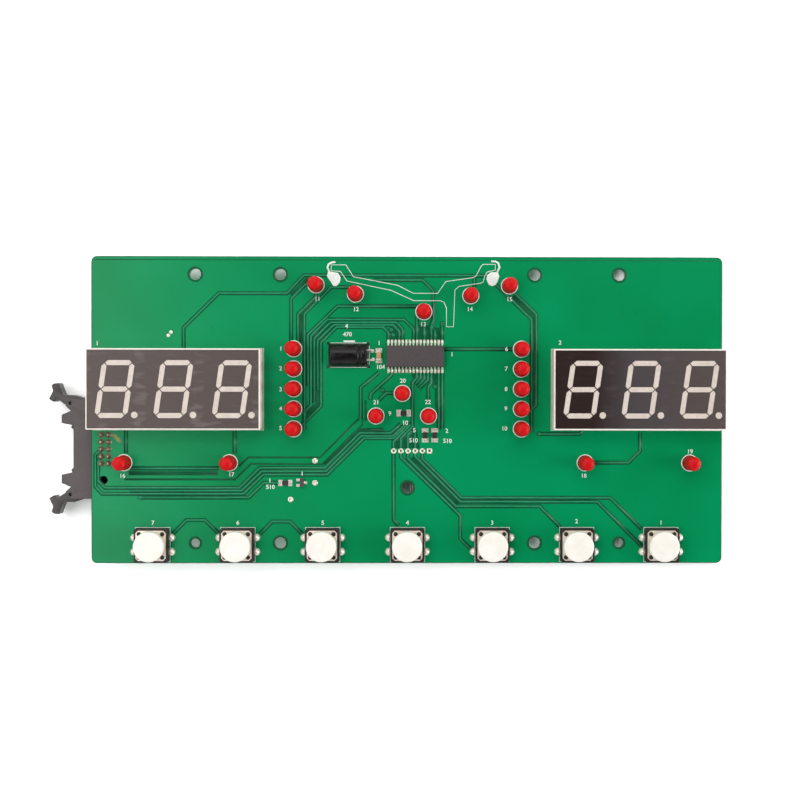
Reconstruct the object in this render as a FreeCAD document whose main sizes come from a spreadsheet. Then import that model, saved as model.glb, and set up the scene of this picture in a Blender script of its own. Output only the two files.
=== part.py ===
import FreeCAD, Part
import Sketcher
import math
import os
import re

# Display and keypad board of a wheel balancer. Millimetres; the origin is the centre of the inner mounting
# holes on the board's underside, +X runs along the board to the right, +Y towards the rim drawing, +Z out of
# the component face.

SIZES = {
    # Bare board and its mounting holes
    "board_length": 223.2,
    "board_thick": 1.6,
    "board_corner": 2.0,
    "board_top_margin": 6.35,
    "board_bottom_margin": 7.15,
    "hole_row_span": 95.0,
    "inner_hole_span": 90.0,
    "outer_hole_span": 150.0,
    "mount_hole": 4.0,
    "small_mount_hole": 3.2,
    "centre_hole": 4.1,
    "centre_hole_y": -27.9,
    "spare_hole": 0.8,
    "spare_hole_x": -4.95,
    "spare_hole_y": -14.9,
    "pin_pitch": 2.54,
    # Leads are punched square; their holes are drilled to the same outline with a clearance
    "lead_size": 0.5,
    "lead_fit": 0.05,
    "lead_tail": 1.0,
    # Lamps
    "lamp_body": 5.0,
    "lamp_flange": 5.4,
    "lamp_flange_thick": 1.0,
    "lamp_height": 8.6,
    "lamp_dome": 1.5,
    "lamp_lead_pitch": 2.54,
    "bar_lamp_x": 40.3,
    "bar_lamp_top_y": 21.2,
    "bar_lamp_pitch": 7.07,
    "lower_lamp_y": -19.1,
    "lower_lamp_outer_x": 100.2,
    "lower_lamp_inner_x": 63.0,
    "rim_lamp_a_x": -32.4,
    "rim_lamp_a_y": 43.8,
    "rim_lamp_b_x": -18.5,
    "rim_lamp_b_y": 40.6,
    "rim_lamp_c_x": 5.7,
    "rim_lamp_c_y": 34.4,
    "rim_lamp_d_x": 22.3,
    "rim_lamp_d_y": 40.1,
    "rim_lamp_e_x": 36.0,
    "rim_lamp_e_y": 43.6,
    "centre_lamp_x": -1.9,
    "centre_lamp_span": 18.6,
    "centre_lamp_top_y": 5.5,
    "centre_lamp_drop": 8.0,
    # Readouts
    "display_x": 81.4,
    "display_y": 6.85,
    "display_length": 60.4,
    "display_width": 28.2,
    "display_height": 7.5,
    "display_wall": 1.0,
    "display_rim": 0.45,
    "face_thick": 0.8,
    "face_fit": 0.03,
    "carrier_thick": 1.6,
    "carrier_recess": 0.4,
    "carrier_fit": 0.1,
    "bar_lift": 1.0,
    "digit_end_margin": 9.9,
    "digit_shift": 0.25,
    "digit_height": 20.1,
    "digit_width": 11.4,
    "digit_slant": 0.143,
    "bar_width": 1.75,
    "bar_gap": 0.25,
    "point_size": 2.4,
    "point_x": 6.8,
    "point_y": -9.0,
    "display_pin_rows": 22.86,
    # Push switches and their keys
    "key_pitch": 30.0,
    "key_row_y": -48.1,
    "switch_size": 12.0,
    "switch_corner": 0.6,
    "switch_height": 3.2,
    "well_size": 7.8,
    "well_floor": 0.8,
    "dome_size": 6.6,
    "dome_rise": 0.4,
    "cover_size": 10.6,
    "cover_corner": 0.9,
    "cover_thick": 0.3,
    "cover_hole": 6.2,
    "terminal_width": 1.0,
    "terminal_thick": 0.5,
    "terminal_rise": 1.4,
    "terminal_pitch": 5.0,
    "terminal_tail": 1.8,
    "stem_size": 3.8,
    "stem_flange": 5.2,
    "stem_rest": 0.1,
    "stem_height": 6.7,
    "key_travel": 0.3,
    "dome_clearance": 0.06,
    "cap_size": 10.5,
    "cap_edge": 0.5,
    "cap_bottom": 4.4,
    "cap_top": 7.8,
    # Driver chip
    "chip_x": 2.7,
    "chip_y": 18.6,
    "chip_length": 20.5,
    "chip_width": 7.5,
    "chip_thick": 2.3,
    "chip_standoff": 0.15,
    "chip_draft": 7.0,
    "chip_lead_pitch": 1.27,
    "chip_lead_span": 10.3,
    "chip_lead_width": 0.42,
    "chip_lead_thick": 0.25,
    "chip_lead_foot": 0.75,
    # Lying electrolytic capacitor and the slot it sinks into
    "slot_x": -20.95,
    "slot_y": 19.0,
    "slot_length": 14.3,
    "slot_fit": 0.1,
    "slot_relief": 1.0,
    "can_diameter": 8.0,
    "can_length": 12.4,
    "can_groove": 0.45,
    "can_groove_width": 0.8,
    "can_lip": 1.2,
    "bung_diameter": 6.2,
    "bung_thick": 0.5,
    "can_lead_size": 0.6,
    "can_lead_spacing": 3.5,
    "can_lead_reach": 2.6,
    # Chip capacitor, chip resistors and transistor
    "chip_part_length": 3.2,
    "chip_part_width": 1.6,
    "chip_part_end": 0.5,
    "ceramic_thick": 1.2,
    "ceramic_x": -10.2,
    "ceramic_y": 18.85,
    "resistor_thick": 0.6,
    "resistor_a_x": -43.2,
    "resistor_a_y": -26.25,
    "resistor_b_x": -1.4,
    "resistor_b_y": -1.5,
    "resistor_c_x": 6.2,
    "resistor_d_x": 9.6,
    "resistor_pair_y": -9.35,
    "transistor_x": -37.3,
    "transistor_y": -26.05,
    "transistor_length": 2.9,
    "transistor_width": 1.3,
    "transistor_thick": 1.0,
    "transistor_lead_span": 2.5,
    "transistor_lead_width": 0.4,
    "transistor_lead_thick": 0.15,
    "transistor_lead_foot": 0.3,
    "transistor_lead_pitch": 1.9,
    # Ribbon-cable header under the left edge; lengths run from the first row of pin holes to the mouth
    "header_inset": 3.5,
    "header_y": -14.3,
    "header_pin": 0.64,
    "header_pin_fit": 0.03,
    "header_pin_tip": 8.7,
    "header_pin_tail": 1.4,
    "header_height": 9.0,
    "header_wall": 1.6,
    "header_back": 1.8,
    "header_back_wall": 1.3,
    "header_front": 10.3,
    "header_half": 17.7,
    "socket_half": 9.1,
    "tower_reach": 14.5,
    "tower_half": 12.1,
    "tower_root": 8.4,
    "tower_post": 2.4,
    "notch_reach": 11.2,
    "notch_half": 13.5,
    "ear_reach": 13.2,
    "ear_half": 15.3,
    "key_notch_width": 4.5,
    "key_notch_depth": 6.0,
    "lug_reach": 3.2,
    "lug_inner": 8.2,
    "lug_outer": 13.8,
    "lug_thick": 6.0,
    "lug_x": 0.7,
    "lug_half": 11.0,
    "lug_hole": 2.6,
    "lug_hole_depth": 4.5,
    "lug_board_hole": 3.1,
    "pivot_reach": 11.4,
    "pivot_half": 16.2,
    "pivot_pin": 1.2,
    "pivot_fit": 0.08,
    "pivot_pin_length": 1.0,
    "latch_fit": 0.3,
}

DIGITS = 3
KEYS = 7
BAR_LAMPS = 5
SPARE_HOLES = 6
CHIP_LEADS_PER_SIDE = 16
HEADER_ROWS = 5
DISPLAY_PINS_PER_ROW = 6
POINT_SIDES = 8
OVERCUT = 1.0

# Round pieces that repeat or hide are many-sided, to keep the facets of the whole board in bounds
FINE_SIDES = 24
ROUND_SIDES = 12
HIDDEN_SIDES = 8

doc = FreeCAD.newDocument("display_keypad_board")
sheet = doc.addObject("Spreadsheet::Sheet", "Sizes")
subparts = []


def fill_sheet():
    """One row for each driving size: its name and its value."""
    for row, (name, value) in enumerate(SIZES.items(), 1):
        sheet.set(f"A{row}", name)
        sheet.set(f"B{row}", str(value))
        sheet.setAlias(f"B{row}", name)
    doc.recompute()


def formula(text):
    """A formula written with the sizes' names, as an expression that reads the sheet."""
    def cell(word):
        return f"Sizes.{word[0]}" if word[0] in SIZES else word[0]
    return re.sub(r"[a-z][a-z_]*", cell, str(text))


def bind(thing, **formulas):
    """Ties properties of a document object to formulas."""
    for name, text in formulas.items():
        thing.setExpression(name, formula(text))
    return thing


def move(thing, x="0", y="0", z="0"):
    """Puts a document object where three formulas say."""
    for axis, text in zip("xyz", (x, y, z)):
        thing.setExpression(f"Placement.Base.{axis}", formula(text))
    return thing


def subpart(thing, label):
    """Keeps a document object as one named piece of the product."""
    thing.Label = label
    subparts.append(thing)
    return thing


def new_sketch(body, role, name, lift="0"):
    """A sketch on one of the body's own origin planes, lifted along the plane's normal."""
    sketch = body.newObject("Sketcher::SketchObject", name)
    plane = [feature for feature in body.Origin.OriginFeatures if feature.Role == role][0]
    sketch.AttachmentSupport = (plane, "")
    sketch.MapMode = "FlatFace"
    sketch.setExpression("AttachmentOffset.Base.z", formula(lift))
    return sketch


def pin_point(sketch, geometry, position, x, y):
    """Holds one point of a sketch at two formulas."""
    for kind, text in (("DistanceX", x), ("DistanceY", y)):
        constraint = sketch.addConstraint(Sketcher.Constraint(kind, geometry, position, 1.0))
        sketch.setExpression(f"Constraints[{constraint}]", formula(text))


def draw_loop(sketch, points):
    """A closed outline of straight lines through points written as formulas."""
    count = len(points)
    first = sketch.GeometryCount
    corners = [2 * math.pi * corner / count for corner in range(count + 1)]
    start = [FreeCAD.Vector(math.cos(angle), math.sin(angle), 0) for angle in corners]
    for here, after in zip(start, start[1:]):
        sketch.addGeometry(Part.LineSegment(here, after), False)
    for corner in range(count):
        after = first + (corner + 1) % count
        sketch.addConstraint(Sketcher.Constraint("Coincident", first + corner, 2, after, 1))
    for corner, (x, y) in enumerate(points):
        pin_point(sketch, first + corner, 1, x, y)


def draw_box(sketch, left, right, bottom, top):
    draw_loop(sketch, [(left, bottom), (right, bottom), (right, top), (left, top)])


def draw_circle(sketch, x, y, diameter):
    circle = sketch.addGeometry(Part.Circle(FreeCAD.Vector(), FreeCAD.Vector(0, 0, 1), 1.0), False)
    pin_point(sketch, circle, 3, x, y)
    constraint = sketch.addConstraint(Sketcher.Constraint("Diameter", circle, 1.0))
    sketch.setExpression(f"Constraints[{constraint}]", formula(diameter))


def draw_facets(sketch, diameter, sides, x="0", y="0"):
    """A many-sided outline in place of a circle."""
    turns = [2 * math.pi * corner / sides for corner in range(sides)]
    draw_loop(sketch, [(f"{x} + ({diameter}) / 2 * {round(math.cos(turn), 6)}",
                        f"{y} + ({diameter}) / 2 * {round(math.sin(turn), 6)}") for turn in turns])


def new_body(name):
    return doc.addObject("PartDesign::Body", name)


def pad(body, sketch, length, reverse=False, draft="0"):
    """Adds the sketch's outline to the body, along the sketch's normal unless reversed; draft narrows it."""
    feature = body.newObject("PartDesign::Pad", f"{sketch.Name}_pad")
    feature.Profile = sketch
    feature.Reversed = reverse
    bind(feature, Length=length, TaperAngle=f"-{draft}")
    doc.recompute()
    return feature


def pocket(body, sketch, depth, along_normal=True):
    """Cuts the sketch's outline out of the body and makes sure that it met the solid."""
    before = body.Shape.Volume
    feature = body.newObject("PartDesign::Pocket", f"{sketch.Name}_pocket")
    feature.Profile = sketch
    feature.Reversed = along_normal
    bind(feature, Length=depth)
    doc.recompute()
    if not body.Shape.Volume < before:
        raise ValueError(f"{feature.Name} cuts nothing")
    return feature


def ease_top(body, solid, size):
    """Bevels the edges of the solid's highest face."""
    heights = [face.CenterOfMass.z for face in solid.Shape.Faces]
    bevel = body.newObject("PartDesign::Chamfer", f"{solid.Name}_bevel")
    bevel.Base = (solid, [f"Face{heights.index(max(heights)) + 1}"])
    bind(bevel, Size=size)
    doc.recompute()
    return bevel


def new_box(name, length, width, height, x="0", y="0", z="0"):
    """A box centred on x and y, standing on z."""
    box = bind(doc.addObject("Part::Box", name), Length=length, Width=width, Height=height)
    return move(box, f"{x} - ({length}) / 2", f"{y} - ({width}) / 2", z)


def cut(name, base, tool):
    feature = doc.addObject("Part::Cut", name)
    feature.Base = base
    feature.Tool = tool
    return feature


def copies(name, spots):
    """Copies of finished pieces: each spot is a piece, three formulas and, where it is turned, an angle."""
    links = []
    for number, (piece, x, y, z, *turn) in enumerate(spots, 1):
        link = doc.addObject("App::Link", f"{name}_copy_{number}")
        link.LinkedObject = piece
        link.LinkTransform = True
        if turn:
            link.Placement.Rotation = FreeCAD.Rotation(FreeCAD.Vector(0, 0, 1), turn[0])
        links.append(move(link, x, y, z))
    group = doc.addObject("Part::Compound", name)
    group.Links = links
    return group


def centred_run(count, pitch):
    """Formulas for evenly spaced places about zero."""
    return [f"{step - (count - 1) / 2} * {pitch}" for step in range(count)]


def clipped_square(size, corner):
    """Outline of a square with its corners cut off, as formulas."""
    half = f"{size} / 2"
    short = f"({size} / 2 - {corner})"
    return [(f"-{short}", f"-{half}"), (short, f"-{half}"), (half, f"-{short}"), (half, short),
            (short, half), (f"-{short}", half), (f"-{half}", short), (f"-{half}", f"-{short}")]


# Places of what repeats, and of the header behind the board's left edge

HEADER_X = "header_inset - board_length / 2"


def lamp_places():
    """Feet of all lamps: two columns beside the readouts, the rim row, the lower row and the middle three."""
    columns = [(f"{side} * bar_lamp_x", f"bar_lamp_top_y - {step} * bar_lamp_pitch")
               for side in (-1, 1) for step in range(BAR_LAMPS)]
    rim = [(f"rim_lamp_{letter}_x", f"rim_lamp_{letter}_y") for letter in "abcde"]
    lower = [(f"{side} * lower_lamp_{place}_x", "lower_lamp_y")
             for side in (-1, 1) for place in ("outer", "inner")]
    low_y = "centre_lamp_top_y - centre_lamp_drop"
    centre = [("centre_lamp_x", "centre_lamp_top_y"),
              ("centre_lamp_x - centre_lamp_span / 2", low_y),
              ("centre_lamp_x + centre_lamp_span / 2", low_y)]
    return columns + rim + lower + centre


def lamp_lead_places():
    return [(f"{x} + {side} * lamp_lead_pitch / 2", y) for x, y in lamp_places() for side in (-1, 1)]


def key_places():
    """Key 1 is at the right-hand end, as on the board."""
    return [(f"{(KEYS + 1) / 2 - number} * key_pitch", "key_row_y") for number in range(1, KEYS + 1)]


def terminal_places():
    reach = "(switch_size + terminal_thick) / 2"
    return [(f"{x} + {side} * {reach}", f"{y} + {end} * terminal_pitch / 2")
            for x, y in key_places() for side in (-1, 1) for end in (-1, 1)]


def display_pin_places():
    return [(x, f"{row} * display_pin_rows / 2")
            for row in (-1, 1) for x in centred_run(DISPLAY_PINS_PER_ROW, "pin_pitch")]


def header_pin_places():
    """Two rows of tails: the row nearer the mouth and the row behind it."""
    return [(f"{HEADER_X} + {row} * pin_pitch", f"header_y + {y}")
            for row in (0, 1) for y in centred_run(HEADER_ROWS, "pin_pitch")]


# Circuit board

def board_blank():
    """The routed panel: outline, round mounting holes and the capacitor's slot with its corner reliefs."""
    body = new_body("board_blank")
    outline = new_sketch(body, "XY_Plane", "board_outline")
    draw_box(outline, "-board_length / 2", "board_length / 2",
             "-hole_row_span / 2 - board_bottom_margin", "hole_row_span / 2 + board_top_margin")
    panel = pad(body, outline, "board_thick")
    upright = [f"Edge{number}" for number, edge in enumerate(panel.Shape.Edges, 1)
               if abs(edge.tangentAt(edge.FirstParameter).z) > 0.99]
    rounding = body.newObject("PartDesign::Fillet", "board_corners")
    rounding.Base = (panel, upright)
    bind(rounding, Radius="board_corner")
    doc.recompute()
    holes = new_sketch(body, "XY_Plane", "board_holes")
    for side in (-1, 1):
        for row in (-1, 1):
            draw_circle(holes, f"{side} * inner_hole_span / 2", f"{row} * hole_row_span / 2", "mount_hole")
        draw_circle(holes, f"{side} * outer_hole_span / 2", "hole_row_span / 2", "mount_hole")
        draw_circle(holes, f"{side} * outer_hole_span / 2", "-hole_row_span / 2", "small_mount_hole")
        draw_circle(holes, f"{HEADER_X} + lug_x", f"header_y + {side} * lug_half", "lug_board_hole")
    draw_circle(holes, "0", "centre_hole_y", "centre_hole")
    pocket(body, holes, "board_thick")
    slot = new_sketch(body, "XY_Plane", "capacitor_slot")
    half_width = "(can_diameter / 2 + slot_fit)"
    draw_box(slot, "slot_x - slot_length / 2", "slot_x + slot_length / 2",
             f"slot_y - {half_width}", f"slot_y + {half_width}")
    pocket(body, slot, "board_thick")
    reliefs = new_sketch(body, "XY_Plane", "slot_reliefs")
    for side in (-1, 1):
        for end in (-1, 1):
            x = f"slot_x + {side} * slot_length / 2"
            y = f"slot_y + {end} * {half_width}"
            draw_box(reliefs, f"{x} - slot_relief / 2", f"{x} + slot_relief / 2",
                     f"{y} - slot_relief / 2", f"{y} + slot_relief / 2")
    pocket(body, reliefs, "board_thick")
    return body


def drill(name, length, width, places):
    """Cutters for lead holes: the lead's section with its clearance, through the board."""
    cutter = new_box(f"{name}_cutter", f"{length} + 2 * lead_fit", f"{width} + 2 * lead_fit",
                     f"board_thick + 2 * {OVERCUT}", z=-OVERCUT)
    return copies(name, [(cutter, x, y, "0") for x, y in places])


def circuit_board():
    displays = [(f"{side} * display_x + {x}", f"display_y + {y}")
                for side in (-1, 1) for x, y in display_pin_places()]
    spares = [(f"spare_hole_x + {step} * pin_pitch", "spare_hole_y") for step in range(SPARE_HOLES)]
    drills = doc.addObject("Part::Compound", "lead_holes")
    drills.Links = [drill("lamp_holes", "lead_size", "lead_size", lamp_lead_places()),
                    drill("display_holes", "lead_size", "lead_size", displays),
                    drill("terminal_holes", "terminal_thick", "terminal_width", terminal_places()),
                    drill("spare_holes", "spare_hole", "spare_hole", spares),
                    drill("header_holes", "header_pin", "header_pin", header_pin_places())]
    subpart(cut("circuit_board", board_blank(), drills), "circuit_board")


# Lamps

def lamps():
    """Flanged lenses that stand on the board, each with a bevelled dome, and their leads."""
    lens = new_body("lamp_lens")
    flange = new_sketch(lens, "XY_Plane", "lens_flange")
    draw_facets(flange, "lamp_flange", ROUND_SIDES)
    pad(lens, flange, "lamp_flange_thick")
    barrel = new_sketch(lens, "XY_Plane", "lens_barrel")
    draw_facets(barrel, "lamp_body", ROUND_SIDES)
    ease_top(lens, pad(lens, barrel, "lamp_height"), "lamp_dome")
    subpart(copies("lamp_lenses", [(lens, x, y, "board_thick") for x, y in lamp_places()]), "lamp_lenses")
    lead = new_box("lamp_lead", "lead_size", "lead_size", "board_thick + lead_tail", z="-lead_tail")
    subpart(copies("lamp_leads", [(lead, x, y, "0") for x, y in lamp_lead_places()]), "lamp_leads")


# Readouts, drawn about the middle of their foot on the board

def slanted(x, y):
    return f"{x} + digit_slant * ({y})", y


def lying_bar(y):
    """Six corners of a bar that lies across the digit at height y."""
    tip = "((digit_width - bar_width) / 2 - bar_gap)"
    shoulder = f"({tip} - bar_width / 2)"
    above = f"({y} + bar_width / 2)"
    below = f"({y} - bar_width / 2)"
    corners = [(f"-{tip}", y), (f"-{shoulder}", below), (shoulder, below),
               (tip, y), (shoulder, above), (f"-{shoulder}", above)]
    return [slanted(*corner) for corner in corners]


def standing_bar(side, half):
    """Six corners of an upright bar: side is left or right, half is lower or upper."""
    x = f"{side} * (digit_width - bar_width) / 2"
    near = f"{half} * bar_gap"
    far = f"{half} * ((digit_height - bar_width) / 2 - bar_gap)"
    near_shoulder = f"({near} + {half} * bar_width / 2)"
    far_shoulder = f"({far} - {half} * bar_width / 2)"
    left = f"{x} - {half} * bar_width / 2"
    right = f"{x} + {half} * bar_width / 2"
    corners = [(x, near), (right, near_shoulder), (right, far_shoulder),
               (x, far), (left, far_shoulder), (left, near_shoulder)]
    return [slanted(*corner) for corner in corners]


def digit_bars():
    """Seven light bars and the decimal point of one digit, from their feet up to the face."""
    sketch = doc.addObject("Sketcher::SketchObject", "digit_outline")
    for level in (-1, 0, 1):
        draw_loop(sketch, lying_bar(f"{level} * (digit_height - bar_width) / 2"))
    for side in (-1, 1):
        for half in (-1, 1):
            draw_loop(sketch, standing_bar(side, half))
    turns = [2 * math.pi * (corner + 0.5) / POINT_SIDES for corner in range(POINT_SIDES)]
    draw_loop(sketch, [(f"point_x + point_size / 2 * {math.cos(turn)}",
                        f"point_y + point_size / 2 * {math.sin(turn)}") for turn in turns])
    bars = doc.addObject("Part::Extrusion", "digit_bars")
    bars.Base = sketch
    bars.DirMode = "Normal"
    bars.Solid = True
    bind(bars, LengthFwd="display_height - carrier_recess - carrier_thick - bar_lift")
    return bars


def display_housing():
    """White shell: four walls with a rim that the face drops into."""
    body = new_body("display_housing")
    outline = new_sketch(body, "XY_Plane", "housing_outline")
    draw_box(outline, "-display_length / 2", "display_length / 2", "-display_width / 2", "display_width / 2")
    pad(body, outline, "display_height")
    inside = new_sketch(body, "XY_Plane", "housing_inside")
    length = "(display_length / 2 - display_wall)"
    width = "(display_width / 2 - display_wall)"
    draw_box(inside, f"-{length}", length, f"-{width}", width)
    pocket(body, inside, "display_height")
    seat = new_sketch(body, "XY_Plane", "face_seat", lift="display_height - face_thick")
    length = "(display_length / 2 - display_rim)"
    width = "(display_width / 2 - display_rim)"
    draw_box(seat, f"-{length}", length, f"-{width}", width)
    pocket(body, seat, "face_thick")
    return body


DIGIT_PITCH = f"(display_length - 2 * digit_end_margin) / {DIGITS - 1}"


def displays():
    bars = digit_bars()
    bar_foot = "carrier_recess + carrier_thick + bar_lift"
    digits = [f"digit_shift + {step}" for step in centred_run(DIGITS, DIGIT_PITCH)]
    segments = copies("display_segments", [(bars, x, "0", bar_foot) for x in digits])
    plate = new_box("face_plate", "display_length - 2 * display_rim - 2 * face_fit",
                    "display_width - 2 * display_rim - 2 * face_fit", "face_thick",
                    z="display_height - face_thick")
    inner = "2 * display_wall - 2 * carrier_fit"
    carrier = new_box("display_carrier", f"display_length - {inner}", f"display_width - {inner}",
                      "carrier_thick", z="carrier_recess")
    tail = "board_thick + lead_tail"
    pin = new_box("display_pin", "lead_size", "lead_size", f"carrier_recess + {tail}", z=f"-({tail})")
    pieces = {"housing": display_housing(),
              "face": cut("display_face", plate, segments),
              "segments": segments,
              "carrier": carrier,
              "pins": copies("display_pins", [(pin, x, y, "0") for x, y in display_pin_places()])}
    for side, sign in (("left", -1), ("right", 1)):
        for name, piece in pieces.items():
            label = f"{side}_display_{name}"
            subpart(copies(label, [(piece, f"{sign} * display_x", "display_y", "board_thick")]), label)


# Push switches and keys, drawn about the switch's middle on the board

def switch_base():
    """Square base with clipped corners and a round well for the dome and the stem's flange."""
    body = new_body("switch_base")
    outline = new_sketch(body, "XY_Plane", "base_outline")
    draw_loop(outline, clipped_square("switch_size", "switch_corner"))
    pad(body, outline, "switch_height")
    well = new_sketch(body, "XY_Plane", "base_well", lift="well_floor")
    draw_facets(well, "well_size", HIDDEN_SIDES)
    pocket(body, well, "switch_height - well_floor")
    return body


def switch_cover():
    body = new_body("switch_cover")
    outline = new_sketch(body, "XY_Plane", "cover_outline")
    draw_loop(outline, clipped_square("cover_size", "cover_corner"))
    pad(body, outline, "cover_thick")
    window = new_sketch(body, "XY_Plane", "cover_window")
    draw_facets(window, "cover_hole", HIDDEN_SIDES)
    pocket(body, window, "cover_thick")
    return body


def switch_dome():
    """Snap disc that lies on the floor of the well."""
    body = new_body("switch_dome")
    rim = new_sketch(body, "XY_Plane", "dome_rim")
    draw_facets(rim, "dome_size", HIDDEN_SIDES)
    ease_top(body, pad(body, rim, "dome_rise"), "dome_rise / 2")
    return body


STEM_FOOT = "(well_floor + dome_rise + key_travel + dome_clearance)"


def key_stem():
    """Square plunger: its flange rests just under the cover, its head carries the cap."""
    body = new_body("key_stem")
    flange = new_sketch(body, "XY_Plane", "stem_flange_outline", lift=STEM_FOOT)
    draw_box(flange, "-stem_flange / 2", "stem_flange / 2", "-stem_flange / 2", "stem_flange / 2")
    pad(body, flange, f"switch_height - stem_rest - {STEM_FOOT}")
    shaft = new_sketch(body, "XY_Plane", "stem_shaft_outline", lift=STEM_FOOT)
    draw_box(shaft, "-stem_size / 2", "stem_size / 2", "-stem_size / 2", "stem_size / 2")
    pad(body, shaft, f"stem_height - {STEM_FOOT}")
    return body


def key_cap():
    """Round cap with an eased top edge, pushed onto the stem's square head."""
    body = new_body("key_cap")
    side = new_sketch(body, "XY_Plane", "cap_side", lift="cap_bottom")
    draw_facets(side, "cap_size", FINE_SIDES)
    ease_top(body, pad(body, side, "cap_top - cap_bottom"), "cap_edge")
    socket = new_sketch(body, "XY_Plane", "cap_socket", lift="cap_bottom")
    draw_box(socket, "-stem_size / 2", "stem_size / 2", "-stem_size / 2", "stem_size / 2")
    pocket(body, socket, "stem_height - cap_bottom")
    return body


def switches():
    base = switch_base()
    cover = switch_cover()
    dome = switch_dome()
    terminal = new_box("switch_terminal", "terminal_thick", "terminal_width",
                       "terminal_rise + board_thick + terminal_tail", z="-terminal_tail")
    keys = key_places()
    top = "board_thick"
    subpart(copies("switch_bases", [(base, x, y, top) for x, y in keys]), "switch_bases")
    lid = f"{top} + switch_height"
    subpart(copies("switch_covers", [(cover, x, y, lid) for x, y in keys]), "switch_covers")
    subpart(copies("switch_domes", [(dome, x, y, f"{top} + well_floor") for x, y in keys]), "switch_domes")
    subpart(copies("switch_terminals", [(terminal, x, y, "0") for x, y in terminal_places()]),
            "switch_terminals")
    stem = key_stem()
    cap = key_cap()
    for number, (x, y) in enumerate(keys, 1):
        subpart(copies(f"key_stem_{number}", [(stem, x, y, top)]), f"key_stem_{number}")
        subpart(copies(f"key_cap_{number}", [(cap, x, y, top)]), f"key_cap_{number}")


# Parts soldered on the surface

def gull_wing(name, half_body, half_span, exit_height, thick, foot, width):
    """One lead that slopes from the body down to a foot on the board, towards +Y."""
    body = new_body(name)
    profile = new_sketch(body, "YZ_Plane", f"{name}_profile", lift=f"-{width} / 2")
    heel = f"({half_span} - {foot})"
    draw_loop(profile, [(half_body, f"{exit_height} - {thick} / 2"), (f"{heel} - {thick}", "0"),
                        (half_span, "0"), (half_span, thick), (heel, thick),
                        (half_body, f"{exit_height} + {thick} / 2")])
    pad(body, profile, width)
    return body


def driver_chip():
    """Moulded body with drafted upper and lower halves, and a row of leads along each long side."""
    middle = "(chip_standoff + chip_thick / 2)"
    body = new_body("chip_body")
    parting = new_sketch(body, "XY_Plane", "chip_parting", lift=middle)
    draw_box(parting, "-chip_length / 2", "chip_length / 2", "-chip_width / 2", "chip_width / 2")
    for reverse in (False, True):
        pad(body, parting, "chip_thick / 2", reverse=reverse, draft="chip_draft")
    subpart(copies("driver_chip_body", [(body, "chip_x", "chip_y", "board_thick")]), "driver_chip_body")
    lead = gull_wing("chip_lead", "chip_width / 2", "chip_lead_span / 2", middle, "chip_lead_thick",
                     "chip_lead_foot", "chip_lead_width")
    run = centred_run(CHIP_LEADS_PER_SIDE, "chip_lead_pitch")
    leads = [(lead, f"chip_x + {x}", "chip_y", "board_thick", turn) for turn in (0, 180) for x in run]
    subpart(copies("driver_chip_leads", leads), "driver_chip_leads")


def electrolytic():
    """Can lying in its slot with the bung to the right; the leads lie on their pads."""
    axis_height = "board_thick + can_lead_size / 2"
    left = "slot_x - can_length / 2 - bung_thick / 2"
    can = new_body("capacitor_can_body")
    waist = "(can_length - can_lip - can_groove_width)"
    for name, start, length, diameter in (
            ("can_barrel", "0", waist, "can_diameter"),
            ("can_waist", waist, "can_groove_width", "can_diameter - 2 * can_groove"),
            ("can_rim", "can_length - can_lip", "can_lip", "can_diameter")):
        ring = new_sketch(can, "YZ_Plane", name, lift=start)
        draw_facets(ring, diameter, FINE_SIDES)
        pad(can, ring, length)
    subpart(copies("capacitor_can", [(can, left, "slot_y", axis_height)]), "capacitor_can")
    end = f"{left} + can_length"
    bung = new_body("capacitor_bung_body")
    disc = new_sketch(bung, "YZ_Plane", "bung_disc")
    draw_facets(disc, "bung_diameter", ROUND_SIDES)
    pad(bung, disc, "bung_thick")
    subpart(copies("capacitor_bung", [(bung, end, "slot_y", axis_height)]), "capacitor_bung")
    lead = new_box("capacitor_lead", "can_lead_reach", "can_lead_size", "can_lead_size",
                   x=f"{end} + bung_thick + can_lead_reach / 2", z="board_thick")
    leads = [(lead, "0", f"slot_y + {side} * can_lead_spacing / 2", "0") for side in (-1, 1)]
    subpart(copies("capacitor_leads", leads), "capacitor_leads")


def chip_parts():
    """Ceramic capacitor and resistors: a block between two end caps."""
    middle = "chip_part_length - 2 * chip_part_end"
    shift = "(chip_part_length - chip_part_end) / 2"
    upright = 90
    ceramic = [("ceramic_x", "ceramic_y", upright)]
    resistors = [("resistor_a_x", "resistor_a_y", 0), ("resistor_b_x", "resistor_b_y", 0),
                 ("resistor_c_x", "resistor_pair_y", upright), ("resistor_d_x", "resistor_pair_y", upright)]
    for block, spots, names in (("ceramic", ceramic, ("ceramic_capacitor_body", "ceramic_capacitor_ends")),
                                ("resistor", resistors, ("resistor_bodies", "resistor_ends"))):
        body = new_box(f"{block}_block", middle, "chip_part_width", f"{block}_thick")
        end = new_box(f"{block}_end", "chip_part_end", "chip_part_width", f"{block}_thick", x=shift)
        bodies = [(body, x, y, "board_thick", turn) for x, y, turn in spots]
        ends = [(end, x, y, "board_thick", turn + flip) for x, y, turn in spots for flip in (0, 180)]
        subpart(copies(names[0], bodies), names[0])
        subpart(copies(names[1], ends), names[1])


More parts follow.
